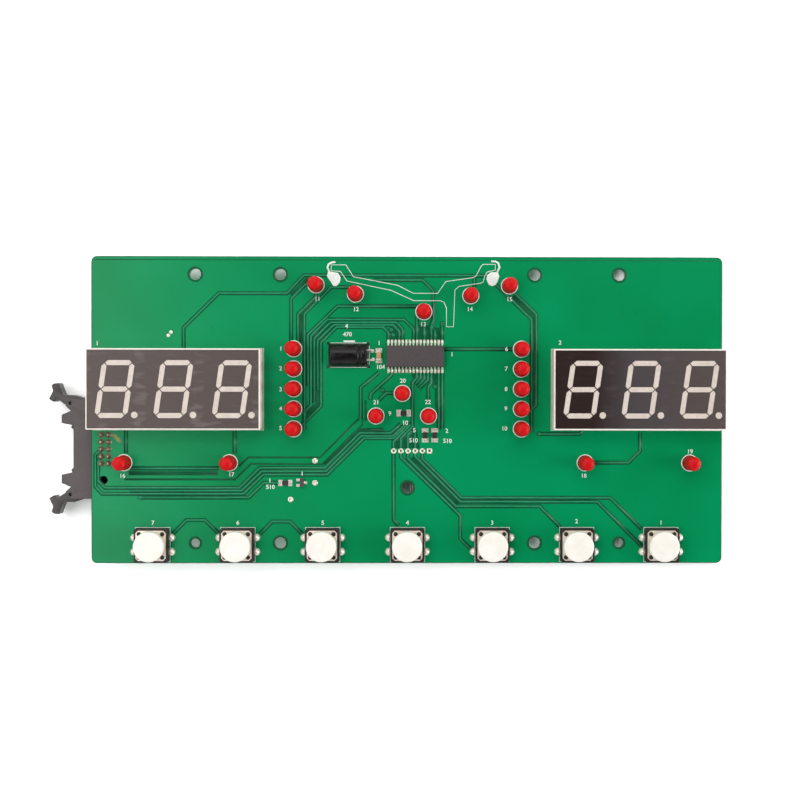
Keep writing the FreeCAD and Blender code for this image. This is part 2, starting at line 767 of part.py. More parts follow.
def transistor():
    """Small three-lead package: two leads to the left, one to the right."""
    standoff = "transistor_lead_thick / 2"
    block = new_box("transistor_block", "transistor_width", "transistor_length", "transistor_thick",
                    z=standoff)
    subpart(copies("transistor_body", [(block, "transistor_x", "transistor_y", "board_thick")]),
            "transistor_body")
    lead = gull_wing("transistor_lead", "transistor_width / 2", "transistor_lead_span / 2",
                     f"({standoff} + transistor_thick / 2)", "transistor_lead_thick", "transistor_lead_foot",
                     "transistor_lead_width")
    leftward, rightward = 90, -90
    half_pitch = "transistor_lead_pitch / 2"
    leads = [(lead, "transistor_x", f"transistor_y + {side} * {half_pitch}", "board_thick", leftward)
             for side in (-1, 1)]
    leads.append((lead, "transistor_x", "transistor_y", "board_thick", rightward))
    subpart(copies("transistor_leads", leads), "transistor_leads")


# Ribbon-cable header, drawn about its first row of pins on the board's underside, mouth towards -X

def mirrored(points):
    """A half outline in +Y followed by its mirror image, as one loop."""
    return points + [(x, f"-({y})") for x, y in reversed(points)]


def header_shroud():
    """Socket with end towers, ears for the latches, ejector slots, a keying notch and two screw lugs."""
    body = new_body("header_body")
    plan = new_sketch(body, "XY_Plane", "header_plan")
    half = [("-header_front", "tower_root"), ("-tower_reach", "socket_half"), ("-tower_reach", "tower_half"),
            ("-notch_reach", "notch_half"), ("-ear_reach", "ear_half"), ("-pivot_reach", "header_half"),
            ("-header_back", "header_half")]
    draw_loop(plan, mirrored(half))
    pad(body, plan, "header_height", reverse=True)
    inside = "header_height - 2 * header_wall"
    back_wall = "-header_back - header_back_wall"
    mouth = f"-tower_reach - {OVERCUT}"
    socket = new_sketch(body, "XY_Plane", "header_socket", lift="-header_wall")
    draw_box(socket, mouth, back_wall, "-socket_half", "socket_half")
    pocket(body, socket, inside, along_normal=False)
    outside = f"header_half + {OVERCUT}"
    slots = new_sketch(body, "XY_Plane", "latch_slots", lift="-header_wall")
    draw_box(slots, mouth, back_wall, "tower_half", outside)
    draw_box(slots, mouth, back_wall, f"-({outside})", "-tower_half")
    pocket(body, slots, inside, along_normal=False)
    ejectors = new_sketch(body, "XY_Plane", "ejector_slots", lift="-header_wall")
    post = "-tower_reach + tower_post"
    inner, outer = f"(socket_half - {OVERCUT})", f"(tower_half + {OVERCUT})"
    draw_box(ejectors, post, back_wall, inner, outer)
    draw_box(ejectors, post, back_wall, f"-{outer}", f"-{inner}")
    pocket(body, ejectors, inside, along_normal=False)
    pivots = new_sketch(body, "XY_Plane", "pivot_holes")
    for side in (-1, 1):
        draw_facets(pivots, "pivot_pin + 2 * pivot_fit", ROUND_SIDES, "-pivot_reach", f"{side} * pivot_half")
    pocket(body, pivots, "header_height", along_normal=False)
    notch = new_sketch(body, "XY_Plane", "keying_notch", lift="header_wall - header_height")
    draw_box(notch, mouth, "-header_front + key_notch_depth", "-key_notch_width / 2", "key_notch_width / 2")
    pocket(body, notch, "header_wall", along_normal=False)
    lugs = new_sketch(body, "XY_Plane", "screw_lugs")
    draw_box(lugs, "-header_back", "lug_reach", "lug_inner", "lug_outer")
    draw_box(lugs, "-header_back", "lug_reach", "-lug_outer", "-lug_inner")
    pad(body, lugs, "lug_thick", reverse=True)
    screws = new_sketch(body, "XY_Plane", "screw_holes")
    for side in (-1, 1):
        draw_facets(screws, "lug_hole", ROUND_SIDES, "lug_x", f"{side} * lug_half")
    pocket(body, screws, "lug_hole_depth", along_normal=False)
    hole = new_box("header_pin_hole", "header_back_wall + 2", "header_pin + 2 * header_pin_fit",
                   "header_pin + 2 * header_pin_fit", x="-header_back - header_back_wall / 2",
                   z="-header_pin / 2 - header_pin_fit")
    holes = copies("header_pin_holes", [(hole, "0", y, level) for level in pin_levels()
                                        for y in centred_run(HEADER_ROWS, "pin_pitch")])
    return cut("header_moulding", body, holes)


def pin_levels():
    """Heights of the two pin rows in the socket, the one nearer the board first."""
    return [f"-header_height / 2 + {side} * pin_pitch / 2" for side in (1, -1)]


def header_pin(name, level, bend):
    """Square pin that runs out of the socket's back and turns up through the board."""
    body = new_body(name)
    profile = new_sketch(body, "XZ_Plane", f"{name}_profile", lift="-header_pin / 2")
    half = "header_pin / 2"
    top = "board_thick + header_pin_tail"
    draw_loop(profile, [("-header_pin_tip", f"{level} - {half}"), (f"{bend} + {half}", f"{level} - {half}"),
                        (f"{bend} + {half}", top), (f"{bend} - {half}", top),
                        (f"{bend} - {half}", f"{level} + {half}"), ("-header_pin_tip", f"{level} + {half}")])
    pad(body, profile, "header_pin")
    return body


# Latch outline about its pivot, open as photographed: distance towards the mouth, distance outwards
LATCH_HOOK = [(5.46, 1.6), (6.01, 0.62), (6.56, 0.44), (8.2, 1.46)]
LATCH_THUMB = [(6.74, 4.37), (7.36, 6.38), (6.38, 7.03), (4.63, 7.21), (3.64, 4.37), (3.1, 3.1), (2.37, 2.91)]
LATCH_BACK = [(-0.91, 2.85), (-6.4, 1.02), (-6.32, -1.93)]
LATCH_EJECTOR = [(-0.98, -9.67), (0.42, -8.7), (-2.45, -3.85)]


def latch():
    """Bell crank: hook and thumb pad in front, ejector foot behind, a short pivot pin on each face."""
    body = new_body("header_latch")
    thick = "header_height - 2 * header_wall - 2 * latch_fit"
    top = "-header_wall - latch_fit"
    outline = new_sketch(body, "XY_Plane", "latch_outline", lift=top)
    draw_loop(outline, [(-ahead, outward) for ahead, outward in
                        LATCH_HOOK + LATCH_THUMB + LATCH_BACK + LATCH_EJECTOR])
    pad(body, outline, thick, reverse=True)
    for name, lift, reverse in (("upper_pivot", top, False), ("under_pivot", f"{top} - ({thick})", True)):
        pivot = new_sketch(body, "XY_Plane", name, lift=lift)
        draw_facets(pivot, "pivot_pin", ROUND_SIDES)
        pad(body, pivot, "pivot_pin_length", reverse=reverse)
    return body


def header():
    moulding = header_shroud()
    subpart(copies("header_shroud", [(moulding, HEADER_X, "header_y", "0")]), "header_shroud")
    near, far = pin_levels()
    pins = [header_pin("near_pin", near, "0"), header_pin("far_pin", far, "pin_pitch")]
    subpart(copies("header_pins", [(pin, HEADER_X, f"header_y + {y}", "0") for pin in pins
                                   for y in centred_run(HEADER_ROWS, "pin_pitch")]), "header_pins")
    upper = latch()
    lower = doc.addObject("Part::Mirroring", "mirrored_latch")
    lower.Source = upper
    lower.Normal = FreeCAD.Vector(0, 1, 0)
    for name, piece, side in (("upper_latch", upper, 1), ("lower_latch", lower, -1)):
        spot = (piece, f"{HEADER_X} - pivot_reach", f"header_y + {side} * pivot_half", "0")
        subpart(copies(name, [spot]), name)


def write_parts():
    """Checks every object, then writes one file for each piece."""
    doc.recompute()
    faults = [thing.Name for thing in doc.Objects if {"Invalid", "Error"} & set(thing.State)]
    faults += [thing.Label for thing in subparts if thing.Shape.isNull() or not thing.Shape.isValid()]
    if faults:
        raise ValueError(f"not built: {faults}")
    os.makedirs("parts", exist_ok=True)
    for thing in subparts:
        thing.Shape.exportStep(f"parts/{thing.Label}.step")
        print(thing.Label, len(thing.Shape.Solids), round(thing.Shape.Volume, 2))


fill_sheet()
circuit_board()
lamps()
displays()
switches()
driver_chip()
electrolytic()
chip_parts()
transistor()
header()
write_parts()
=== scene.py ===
import bpy
import math
from mathutils import Matrix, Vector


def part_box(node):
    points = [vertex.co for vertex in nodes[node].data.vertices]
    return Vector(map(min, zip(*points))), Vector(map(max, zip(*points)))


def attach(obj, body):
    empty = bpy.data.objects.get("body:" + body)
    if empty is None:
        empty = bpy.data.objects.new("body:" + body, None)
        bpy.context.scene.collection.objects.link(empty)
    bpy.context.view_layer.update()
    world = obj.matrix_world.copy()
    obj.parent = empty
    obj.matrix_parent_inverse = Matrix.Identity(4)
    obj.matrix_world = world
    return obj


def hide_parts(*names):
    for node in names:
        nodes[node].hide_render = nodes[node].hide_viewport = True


# Looks of the display and keypad board. Sizes are in millimetres and are turned to metres when a piece is
# settled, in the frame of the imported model: the origin is under the middle of the board and +Z leaves the
# component face.

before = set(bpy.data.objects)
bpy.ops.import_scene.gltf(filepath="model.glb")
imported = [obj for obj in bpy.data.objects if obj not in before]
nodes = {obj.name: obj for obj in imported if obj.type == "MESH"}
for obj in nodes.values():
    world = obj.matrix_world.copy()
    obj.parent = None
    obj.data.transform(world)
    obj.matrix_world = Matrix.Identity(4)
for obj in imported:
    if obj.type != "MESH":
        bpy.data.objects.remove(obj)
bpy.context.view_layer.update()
MM = 0.001

BOARD_TOP = 1.6
SUNK = 1.55
GAP_TOP = 1.61
TRACK_TOP = 1.645
INK_TOP = 1.69
TIN_TOP = 1.7
LAYER_STEP = 0.0006
GAP_WIDTH = 1.55
TRACK_WIDTH = 0.54


def linear(hex_colour):
    channels = [int(hex_colour[i:i + 2], 16) / 255 for i in (1, 3, 5)]
    curve = [c / 12.92 if c <= 0.04045 else ((c + 0.055) / 1.055) ** 2.4 for c in channels]
    return (*curve, 1.0)


# Picking, placing and copying

def pick(*objects):
    bpy.ops.object.select_all(action="DESELECT")
    for item in objects:
        item.select_set(True)
    bpy.context.view_layer.objects.active = objects[0]


def active():
    return bpy.context.view_layer.objects.active


def settle(piece, name):
    """Puts place, turn and size into the mesh and names the piece."""
    pick(piece)
    bpy.ops.object.transform_apply(location=True, rotation=True, scale=True)
    piece.name = name
    piece.data.name = name
    return piece


def in_metres(piece, name):
    """A piece modelled in millimetres becomes one in metres."""
    piece.scale = (MM, MM, MM)
    return settle(piece, name)


def spread(master, spots, name):
    """Copies one modelled shape to each spot, with its own mesh, and joins the copies into one piece."""
    copies = []
    for x, y in spots:
        copy = master.copy()
        copy.data = master.data.copy()
        copy.location = (x, y, 0)
        bpy.context.collection.objects.link(copy)
        copies.append(copy)
    bpy.data.objects.remove(master)
    bpy.context.view_layer.update()
    for copy in copies:
        pick(copy)
        bpy.ops.object.transform_apply(location=True, rotation=True, scale=True)
    pick(*copies)
    if len(copies) > 1:
        bpy.ops.object.join()
    return in_metres(active(), name)


def smooth(piece, degrees):
    pick(piece)
    bpy.ops.object.shade_smooth_by_angle(angle=math.radians(degrees))
    return piece


def dress(piece, body, finish):
    piece.data.materials.clear()
    piece.data.materials.append(finish)
    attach(piece, body)
    return piece


# Turned and drawn shapes

def turned(profile, sides):
    """A round solid, raised ring by ring from a filled disc. Each step of the profile is a radius and a
    height."""
    bpy.ops.object.select_all(action="DESELECT")
    radius, height = profile[0]
    bpy.ops.mesh.primitive_circle_add(vertices=sides, radius=radius, fill_type="NGON", location=(0, 0, 0))
    piece = active()
    piece.data.transform(Matrix.Translation((0, 0, height)))
    bpy.ops.object.mode_set(mode="EDIT")
    bpy.ops.mesh.select_all(action="SELECT")
    for new_radius, new_height in profile[1:]:
        bpy.ops.mesh.extrude_region_move(TRANSFORM_OT_translate={"value": (0, 0, new_height - height)})
        scale = new_radius / radius
        bpy.ops.transform.resize(value=(scale, scale, 1), center_override=(0, 0, new_height))
        radius, height = new_radius, new_height
    bpy.ops.mesh.select_all(action="SELECT")
    bpy.ops.mesh.normals_make_consistent(inside=False)
    bpy.ops.object.mode_set(mode="OBJECT")
    return piece


def flat_profile(width, low, high):
    """A flat oblong section that lines on the board are drawn with."""
    section = bpy.data.curves.new("line_section", "CURVE")
    section.dimensions = "2D"
    corners = section.splines.new("POLY")
    corners.points.add(3)
    corners.use_cyclic_u = True
    half = width / 2
    for point, (x, y) in zip(corners.points, ((-half, low), (-half, high), (half, high), (half, low))):
        point.co = (x, y, 0, 1)
    holder = bpy.data.objects.new("line_section", section)
    bpy.context.collection.objects.link(holder)
    return holder


def drawn_lines(routes, width, low, high, closed):
    """Strips of one width along flat routes, each a thin closed bar. Each lies a hair above the one before,
    so that no two tops share a plane where they cross."""
    section = flat_profile(width, low, high)
    line = bpy.data.curves.new("line", "CURVE")
    line.dimensions = "3D"
    line.twist_mode = "Z_UP"
    line.bevel_mode = "OBJECT"
    line.bevel_object = section
    line.use_fill_caps = True
    for layer, route in enumerate(routes):
        run = line.splines.new("POLY")
        run.points.add(len(route) - 1)
        run.use_cyclic_u = closed
        for point, (x, y) in zip(run.points, route):
            point.co = (x, y, layer * LAYER_STEP, 1)
    piece = bpy.data.objects.new("line", line)
    bpy.context.collection.objects.link(piece)
    pick(piece)
    bpy.ops.object.convert(target="MESH")
    piece = active()
    bpy.ops.object.mode_set(mode="EDIT")
    bpy.ops.mesh.select_all(action="SELECT")
    bpy.ops.mesh.remove_doubles(threshold=0.0001)
    bpy.ops.mesh.normals_make_consistent(inside=False)
    bpy.ops.object.mode_set(mode="OBJECT")
    bpy.data.objects.remove(section)
    return piece


def drawn_shapes(outlines, low, high):
    """Filled flat shapes with straight-sided outlines."""
    sheet = bpy.data.curves.new("shape", "CURVE")
    sheet.dimensions = "2D"
    sheet.fill_mode = "BOTH"
    sheet.extrude = (high - low) / 2
    for outline in outlines:
        edge = sheet.splines.new("POLY")
        edge.points.add(len(outline) - 1)
        edge.use_cyclic_u = True
        for point, (x, y) in zip(edge.points, outline):
            point.co = (x, y, 0, 1)
    piece = bpy.data.objects.new("shape", sheet)
    bpy.context.collection.objects.link(piece)
    pick(piece)
    bpy.ops.object.convert(target="MESH")
    piece = active()
    piece.location.z = (low + high) / 2
    bpy.ops.object.transform_apply(location=True)
    return piece


def numeral(text, x, y, height):
    """A plain printed number, centred on a spot of the board."""
    bpy.ops.object.select_all(action="DESELECT")
    bpy.ops.object.text_add(location=(0, 0, 0))
    piece = active()
    piece.data.body = text
    piece.data.align_x = "CENTER"
    piece.data.align_y = "CENTER"
    piece.data.size = height / DIGIT_SHARE
    piece.data.offset = NUMERAL_WEIGHT
    piece.data.extrude = (INK_TOP - BOARD_TOP) / 2
    piece.data.resolution_u = 3
    bpy.ops.object.convert(target="MESH")
    piece = active()
    piece.location = (x, y, (INK_TOP + BOARD_TOP) / 2)
    bpy.ops.object.transform_apply(location=True)
    return piece


def joined(parts, name):
    pick(*parts)
    if len(parts) > 1:
        bpy.ops.object.join()
    return in_metres(active(), name)


def ring(x, y, radius, sides=40):
    angles = [2 * math.pi * i / sides for i in range(sides)]
    return [(x + radius * math.cos(a), y + radius * math.sin(a)) for a in angles]


def oblong(x, y, width, height):
    left, right = x - width / 2, x + width / 2
    low, high = y - height / 2, y + height / 2
    return [(left, low), (right, low), (right, high), (left, high)]


def softened(node, edge, name, body, finish):
    """Stands for a CAD node: the same solid with its sharp edges eased, as moulding leaves them."""
    bpy.ops.object.select_all(action="DESELECT")
    piece = nodes[node].copy()
    piece.data = nodes[node].data.copy()
    for key in list(piece.keys()):
        del piece[key]
    piece.parent = None
    bpy.context.collection.objects.link(piece)
    pick(piece)
    bpy.ops.object.mode_set(mode="EDIT")
    bpy.ops.mesh.select_all(action="SELECT")
    bpy.ops.mesh.remove_doubles(threshold=0.000001)
    bpy.ops.mesh.dissolve_limited(angle_limit=math.radians(1))
    bpy.ops.object.mode_set(mode="OBJECT")
    round_over = piece.modifiers.new("eased_edges", "BEVEL")
    round_over.width = edge * MM
    round_over.segments = 2
    round_over.limit_method = "ANGLE"
    round_over.angle_limit = math.radians(40)
    round_over.use_clamp_overlap = True
    bpy.ops.object.modifier_apply(modifier="eased_edges")
    settle(piece, name)
    smooth(piece, EASED_SMOOTH)
    dress(piece, body, finish)
    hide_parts(node)
    return piece


# Finishes

def put(tree, kind, settings=None, links=None):
    """Adds one node with its settings and links."""
    node = tree.nodes.new(kind)
    for key, value in (settings or {}).items():
        if isinstance(key, int) or key in node.inputs:
            node.inputs[key].default_value = value
        else:
            setattr(node, key, value)
    for key, source in (links or {}).items():
        tree.links.new(source, node.inputs[key])
    return node


def blank(name):
    finish = bpy.data.materials.new(name)
    finish.use_nodes = True
    return finish, finish.node_tree, finish.node_tree.nodes["Principled BSDF"]


def mottled(name, dark, light, grain, shine, rough_swing=0.08, relief=0.05, **shader_settings):
    """A finish whose colour drifts between two close tones over a grain given in millimetres."""
    finish, tree, shader = blank(name)
    place = put(tree, "ShaderNodeTexCoord")
    cloud = put(
        tree, "ShaderNodeTexNoise",
        {"Scale": 1 / (grain * MM), "Detail": 4.0, "Roughness": 0.6},
        {"Vector": place.outputs["Object"]},
    )
    tone = put(tree, "ShaderNodeMix", {"data_type": "RGBA"})
    tone.inputs[6].default_value = linear(dark)
    tone.inputs[7].default_value = linear(light)
    spreadout = put(
        tree, "ShaderNodeMapRange",
        {"From Min": 0.35, "From Max": 0.65},
        {"Value": cloud.outputs["Fac"]},
    )
    tree.links.new(spreadout.outputs["Result"], tone.inputs["Factor"])
    tree.links.new(tone.outputs[2], shader.inputs["Base Color"])
    rough = put(
        tree, "ShaderNodeMapRange",
        {"From Min": 0.3, "From Max": 0.7, "To Min": shine - rough_swing, "To Max": shine + rough_swing},
        {"Value": cloud.outputs["Fac"]},
    )
    tree.links.new(rough.outputs["Result"], shader.inputs["Roughness"])
    bump = put(
        tree, "ShaderNodeBump",
        {"Strength": relief, "Distance": 0.0001},
        {"Height": cloud.outputs["Fac"]},
    )
    tree.links.new(bump.outputs["Normal"], shader.inputs["Normal"])
    for key, value in shader_settings.items():
        shader.inputs[key.replace("_", " ")].default_value = value
    return finish


def board_mask():
    """Green solder mask rolled over copper: smooth, a little glossy, with a slow drift in depth of colour.
    Cut edges and hole walls show the bare laminate, dull and fibrous."""
    finish, tree, shader = blank("green_solder_mask_on_copper")
    place = put(tree, "ShaderNodeTexCoord")
    drift = put(
        tree, "ShaderNodeTexNoise",
        {"Scale": 1 / (DRIFT_SPAN * MM), "Detail": 2.0},
        {"Vector": place.outputs["Object"]},
    )
    depth = put(tree, "ShaderNodeValToRGB", {}, {"Fac": drift.outputs["Fac"]})
    depth.color_ramp.elements[0].position = 0.35
    depth.color_ramp.elements[0].color = linear(MASK_DEEP)
    depth.color_ramp.elements[1].position = 0.65
    depth.color_ramp.elements[1].color = linear(MASK_PALE)
    strands = put(
        tree, "ShaderNodeTexNoise",
        {"Scale": 1 / (STRAND_WIDTH * MM), "Detail": 2.0},
        {"Vector": place.outputs["Object"]},
    )
    edge = put(tree, "ShaderNodeValToRGB", {}, {"Fac": strands.outputs["Fac"]})
    edge.color_ramp.elements[0].color = linear("#2c4432")
    edge.color_ramp.elements[1].color = linear("#6d7f60")
    facing = put(tree, "ShaderNodeSeparateXYZ", {}, {"Vector": place.outputs["Normal"]})
    upright = put(tree, "ShaderNodeMath", {"operation": "ABSOLUTE"}, {0: facing.outputs["Z"]})
    flat = put(tree, "ShaderNodeMath", {"operation": "GREATER_THAN", 1: 0.5}, {0: upright.outputs[0]})
    colour = put(tree, "ShaderNodeMix", {"data_type": "RGBA"}, {"Factor": flat.outputs[0]})
    tree.links.new(edge.outputs["Color"], colour.inputs[6])
    tree.links.new(depth.outputs["Color"], colour.inputs[7])
    tree.links.new(colour.outputs[2], shader.inputs["Base Color"])
    peel = put(
        tree, "ShaderNodeTexNoise",
        {"Scale": 1 / (PEEL_WIDTH * MM), "Detail": 2.0},
        {"Vector": place.outputs["Object"]},
    )
    ripple = put(
        tree, "ShaderNodeBump", {"Strength": 0.06, "Distance": 0.0001}, {"Height": peel.outputs["Fac"]}
    )
    tree.links.new(ripple.outputs["Normal"], shader.inputs["Normal"])
    shader.inputs["Roughness"].default_value = 0.26
    shader.inputs["Specular IOR Level"].default_value = 0.2
    return finish


def filmed_face():
    """Dark epoxy face of a readout under its clear shipping film: near black where the film clings, greyer
    where air lies under it, with pale creases between the digits and a soft shine. The left readout is
    painted paler all over, partly for its film and partly as a painted reflection of the light from the left."""
    finish, tree, shader = blank("dark_epoxy_face_under_film")
    place = put(tree, "ShaderNodeTexCoord")
    along = put(tree, "ShaderNodeSeparateXYZ", {}, {"Vector": place.outputs["Object"]})
    share = put(
        tree, "ShaderNodeMapRange",
        {"From Min": -FILM_REACH * MM, "From Max": FILM_REACH * MM},
        {"Value": along.outputs["X"]},
    )
    # Painted reflection and film: left of the board's middle the face is painted paler, for its film and for
    # the reflection of the light from the left; on the right the film clings near black, then greys where it
    # lifts toward the end.
    film_and_painted_sheen = put(tree, "ShaderNodeValToRGB", {}, {"Fac": share.outputs["Result"]})
    film_and_painted_sheen.color_ramp.elements[0].position = 0.45
    film_and_painted_sheen.color_ramp.elements[0].color = linear("#554947")
    film_and_painted_sheen.color_ramp.elements[1].position = 0.55
    film_and_painted_sheen.color_ramp.elements[1].color = linear("#281a18")
    for position, tone in ((0.79, "#2a1c1a"), (0.85, "#474143"), (1.0, "#554a47")):
        film_and_painted_sheen.color_ramp.elements.new(position).color = linear(tone)
    run = put(tree, "ShaderNodeMapping", {"Scale": (0.4, 1.2, 1.0)}, {"Vector": place.outputs["Object"]})
    creases = put(
        tree, "ShaderNodeTexNoise",
        {"Scale": 1 / (CREASE_WIDTH * MM), "Detail": 2.0, "Roughness": 0.4},
        {"Vector": run.outputs["Vector"]},
    )
    # Air pockets lie in the lanes between the digits, and low down along the edge
    lane = put(tree, "ShaderNodeMath", {"operation": "PINGPONG", 1: LANE_PITCH / 2 * MM})
    shifted = put(tree, "ShaderNodeMath", {"operation": "SUBTRACT", 1: LANE_X * MM}, {0: along.outputs["X"]})
    tree.links.new(shifted.outputs[0], lane.inputs[0])
    beside = put(
        tree, "ShaderNodeMapRange",
        {
            "interpolation_type": "SMOOTHSTEP",
            "From Min": 1.0 * MM, "From Max": 3.6 * MM, "To Min": 0.16, "To Max": 0.0,
        },
        {"Value": lane.outputs[0]},
    )
    below = put(
        tree, "ShaderNodeMapRange",
        {
            "interpolation_type": "SMOOTHSTEP",
            "From Min": -7.2 * MM, "From Max": -3.5 * MM, "To Min": 0.08, "To Max": 0.0,
        },
        {"Value": along.outputs["Y"]},
    )
    pockets = put(
        tree, "ShaderNodeMath", {"operation": "MAXIMUM"}, {0: beside.outputs[0], 1: below.outputs[0]},
    )
    height = put(
        tree, "ShaderNodeMath", {"operation": "ADD"}, {0: creases.outputs["Fac"], 1: pockets.outputs[0]},
    )
    ridge = put(
        tree, "ShaderNodeMapRange",
        {"interpolation_type": "SMOOTHSTEP", "From Min": 0.6, "From Max": 0.88, "To Max": 0.33},
        {"Value": height.outputs[0]},
    )
    left = put(tree, "ShaderNodeMath", {"operation": "LESS_THAN", 1: 0.0}, {0: along.outputs["X"]})
    faint = put(tree, "ShaderNodeMapRange", {"To Min": 0.25}, {"Value": left.outputs[0]})
    ridge = put(tree, "ShaderNodeMath", {"operation": "MULTIPLY"}, {0: ridge.outputs[0], 1: faint.outputs[0]})
    tone = put(tree, "ShaderNodeMix", {"data_type": "RGBA"}, {"Factor": ridge.outputs[0]})
    tree.links.new(film_and_painted_sheen.outputs["Color"], tone.inputs[6])
    tone.inputs[7].default_value = linear("#857a78")
    tree.links.new(tone.outputs[2], shader.inputs["Base Color"])
    ripple = put(
        tree, "ShaderNodeBump", {"Strength": 0.25, "Distance": 0.0006}, {"Height": creases.outputs["Fac"]}
    )
    tree.links.new(ripple.outputs["Normal"], shader.inputs["Normal"])
    shader.inputs["Roughness"].default_value = 0.36
    shader.inputs["Specular IOR Level"].default_value = 0.3
    return finish


def red_lens():
    """Diffused red epoxy of a lamp: light soaks in and comes back saturated, under a soft moulded shine. The
    barrel is painted a deeper red than the nose, a painted shade down its sides."""
    finish, tree, shader = blank("diffused_red_epoxy")
    place = put(tree, "ShaderNodeTexCoord")
    height = put(tree, "ShaderNodeSeparateXYZ", {}, {"Vector": place.outputs["Object"]})
    rise = put(
        tree, "ShaderNodeMapRange",
        {"From Min": LENS_LOW * MM, "From Max": LENS_TIP * MM},
        {"Value": height.outputs["Z"]},
    )
    specks = put(
        tree, "ShaderNodeTexNoise",
        {"Scale": 1 / (SPECK_SIZE * MM), "Detail": 3.0},
        {"Vector": place.outputs["Object"]},
    )
    mixed = put(
        tree, "ShaderNodeMath",
        {"operation": "MULTIPLY_ADD", 1: 0.15},
        {0: specks.outputs["Fac"], 2: rise.outputs[0]},
    )
    # Painted shade: deeper red down the barrel, paler red at the nose, with random specks
    tone = put(tree, "ShaderNodeValToRGB", {}, {"Fac": mixed.outputs[0]})
    tone.color_ramp.elements[0].position = 0.8
    tone.color_ramp.elements[0].color = linear("#a6040b")
    tone.color_ramp.elements[1].position = 1.0
    tone.color_ramp.elements[1].color = linear("#cc050d")
    tree.links.new(tone.outputs["Color"], shader.inputs["Base Color"])
    shader.inputs["Roughness"].default_value = 0.44
    shader.inputs["Specular IOR Level"].default_value = 0.2
    shader.inputs["Subsurface Weight"].default_value = 0.45
    shader.inputs["Subsurface Radius"].default_value = (1.0, 0.2, 0.15)
    shader.inputs["Subsurface Scale"].default_value = 1.2 * MM
    return finish


MASK_DEEP = "#00854d"
MASK_PALE = "#008f57"
DRIFT_SPAN = 45
STRAND_WIDTH = 0.4
PEEL_WIDTH = 1.2
FILM_REACH = 112
CREASE_WIDTH = 2.4
LANE_X = -92.6
LANE_PITCH = 20.4
# Heights over which the lamp's painted shade turns to the nose's paler red
LENS_LOW = 2.0
LENS_TIP = 10.2
SPECK_SIZE = 0.5
DIGIT_SHARE = 0.72
NUMERAL_HEIGHT = 1.5
NUMERAL_WEIGHT = 0.03
SOLDER_SMOOTH = 60
POST_SMOOTH = 50
MOULDED_SMOOTH = 40
EASED_SMOOTH = 25

mask = board_mask()
# Mask over bare laminate: no copper under it, so it looks darker
bare_mask = mottled("green_mask_on_laminate", "#00512f", "#015d38", 3.0, 0.36, Specular_IOR_Level=0.2)
# Mask over narrow copper: a slightly paler raised line
track_mask = mottled("green_mask_on_track", "#128657", "#219163", 2.0, 0.35, Specular_IOR_Level=0.3)
# Printed epoxy ink: chalky white with a slightly uneven lay
ink = mottled("white_epoxy_ink", "#dfe8df", "#f4f6f0", 0.6, 0.55, relief=0.1)
# Tin and lead that flowed and froze: bright, with dull patches
solder = mottled("frozen_solder", "#e2d8c8", "#faf5ea", 0.5, 0.3, relief=0.3, Metallic=0.5)
# The same round hand-soldered pins, browned by rosin
stained_solder = mottled("rosin_stained_solder", "#2f2417", "#a3957c", 0.35, 0.35, relief=0.4, Metallic=0.4)
# Dried rosin: olive and glassy
rosin = mottled("dried_rosin", "#5d6f2a", "#8f9546", 1.0, 0.25)
# Tinned brass legs and pins
tinned = mottled("tinned_brass", "#e6e0d4", "#f8f4ea", 0.8, 0.32, Metallic=0.5)
# Pins browned by hand soldering
dull_pin = mottled("oxidised_brass_pin", "#6f6252", "#b3a794", 0.4, 0.4, Metallic=0.7)
# Moulded white ABS with a faint texture
white_abs = mottled("white_abs", "#efe8dc", "#f8f2e8", 1.5, 0.6, Specular_IOR_Level=0.15)
# Key tops: smoother, whiter moulding
cap_abs = mottled("white_abs_key_top", "#f3eee3", "#f9f6ee", 4.0, 0.42, relief=0.02)
# Cream diffuser bars cast in the readout
cream = mottled("cream_diffuser_resin", "#cfc1b6", "#dbcec4", 2.0, 0.45)
# Glass-epoxy back board of a readout
carrier = mottled("glass_epoxy_laminate", "#6f8a4e", "#86a064", 0.8, 0.5)
# Phenolic switch body: brown-black, matt
phenolic = mottled("black_phenolic", "#191312", "#251e1c", 0.8, 0.5, relief=0.15)
# Pressed nickel-plated steel: warm pale sheen with fine rolling marks
plated_steel = mottled("nickel_plated_steel", "#ead6c0", "#fbf0e2", 2.5, 0.42, relief=0.04, Metallic=0.45)
# Epoxy moulding compound with a matt, slightly pitted skin
chip_epoxy = mottled("black_moulding_compound", "#3b3436", "#4c4345", 0.5, 0.6, relief=0.2)
# Shrunk PVC sleeve: glossy black
sleeve = mottled("black_pvc_sleeve", "#0b090a", "#151213", 2.0, 0.28, relief=0.04, Specular_IOR_Level=0.3)
# Rubber bung
rubber = mottled("black_rubber", "#171515", "#242120", 0.5, 0.7)
# Fired ceramic body
ceramic = mottled("tan_ceramic", "#b08358", "#c99c6f", 0.5, 0.5)
# Glazed resistor film
glaze = mottled("dark_glaze", "#2a2221", "#3f3432", 0.5, 0.35)
# Glass-filled nylon of the header: charcoal with a dusty bloom
nylon = mottled("charcoal_glass_filled_nylon", "#4a4342", "#544c4b", 5.0, 0.5, relief=0.03)
# The same nylon in a darker tone, for the latches
latch_nylon = mottled("darker_charcoal_nylon", "#393433", "#464040", 3.0, 0.42, relief=0.03)
face = filmed_face()
lens = red_lens()

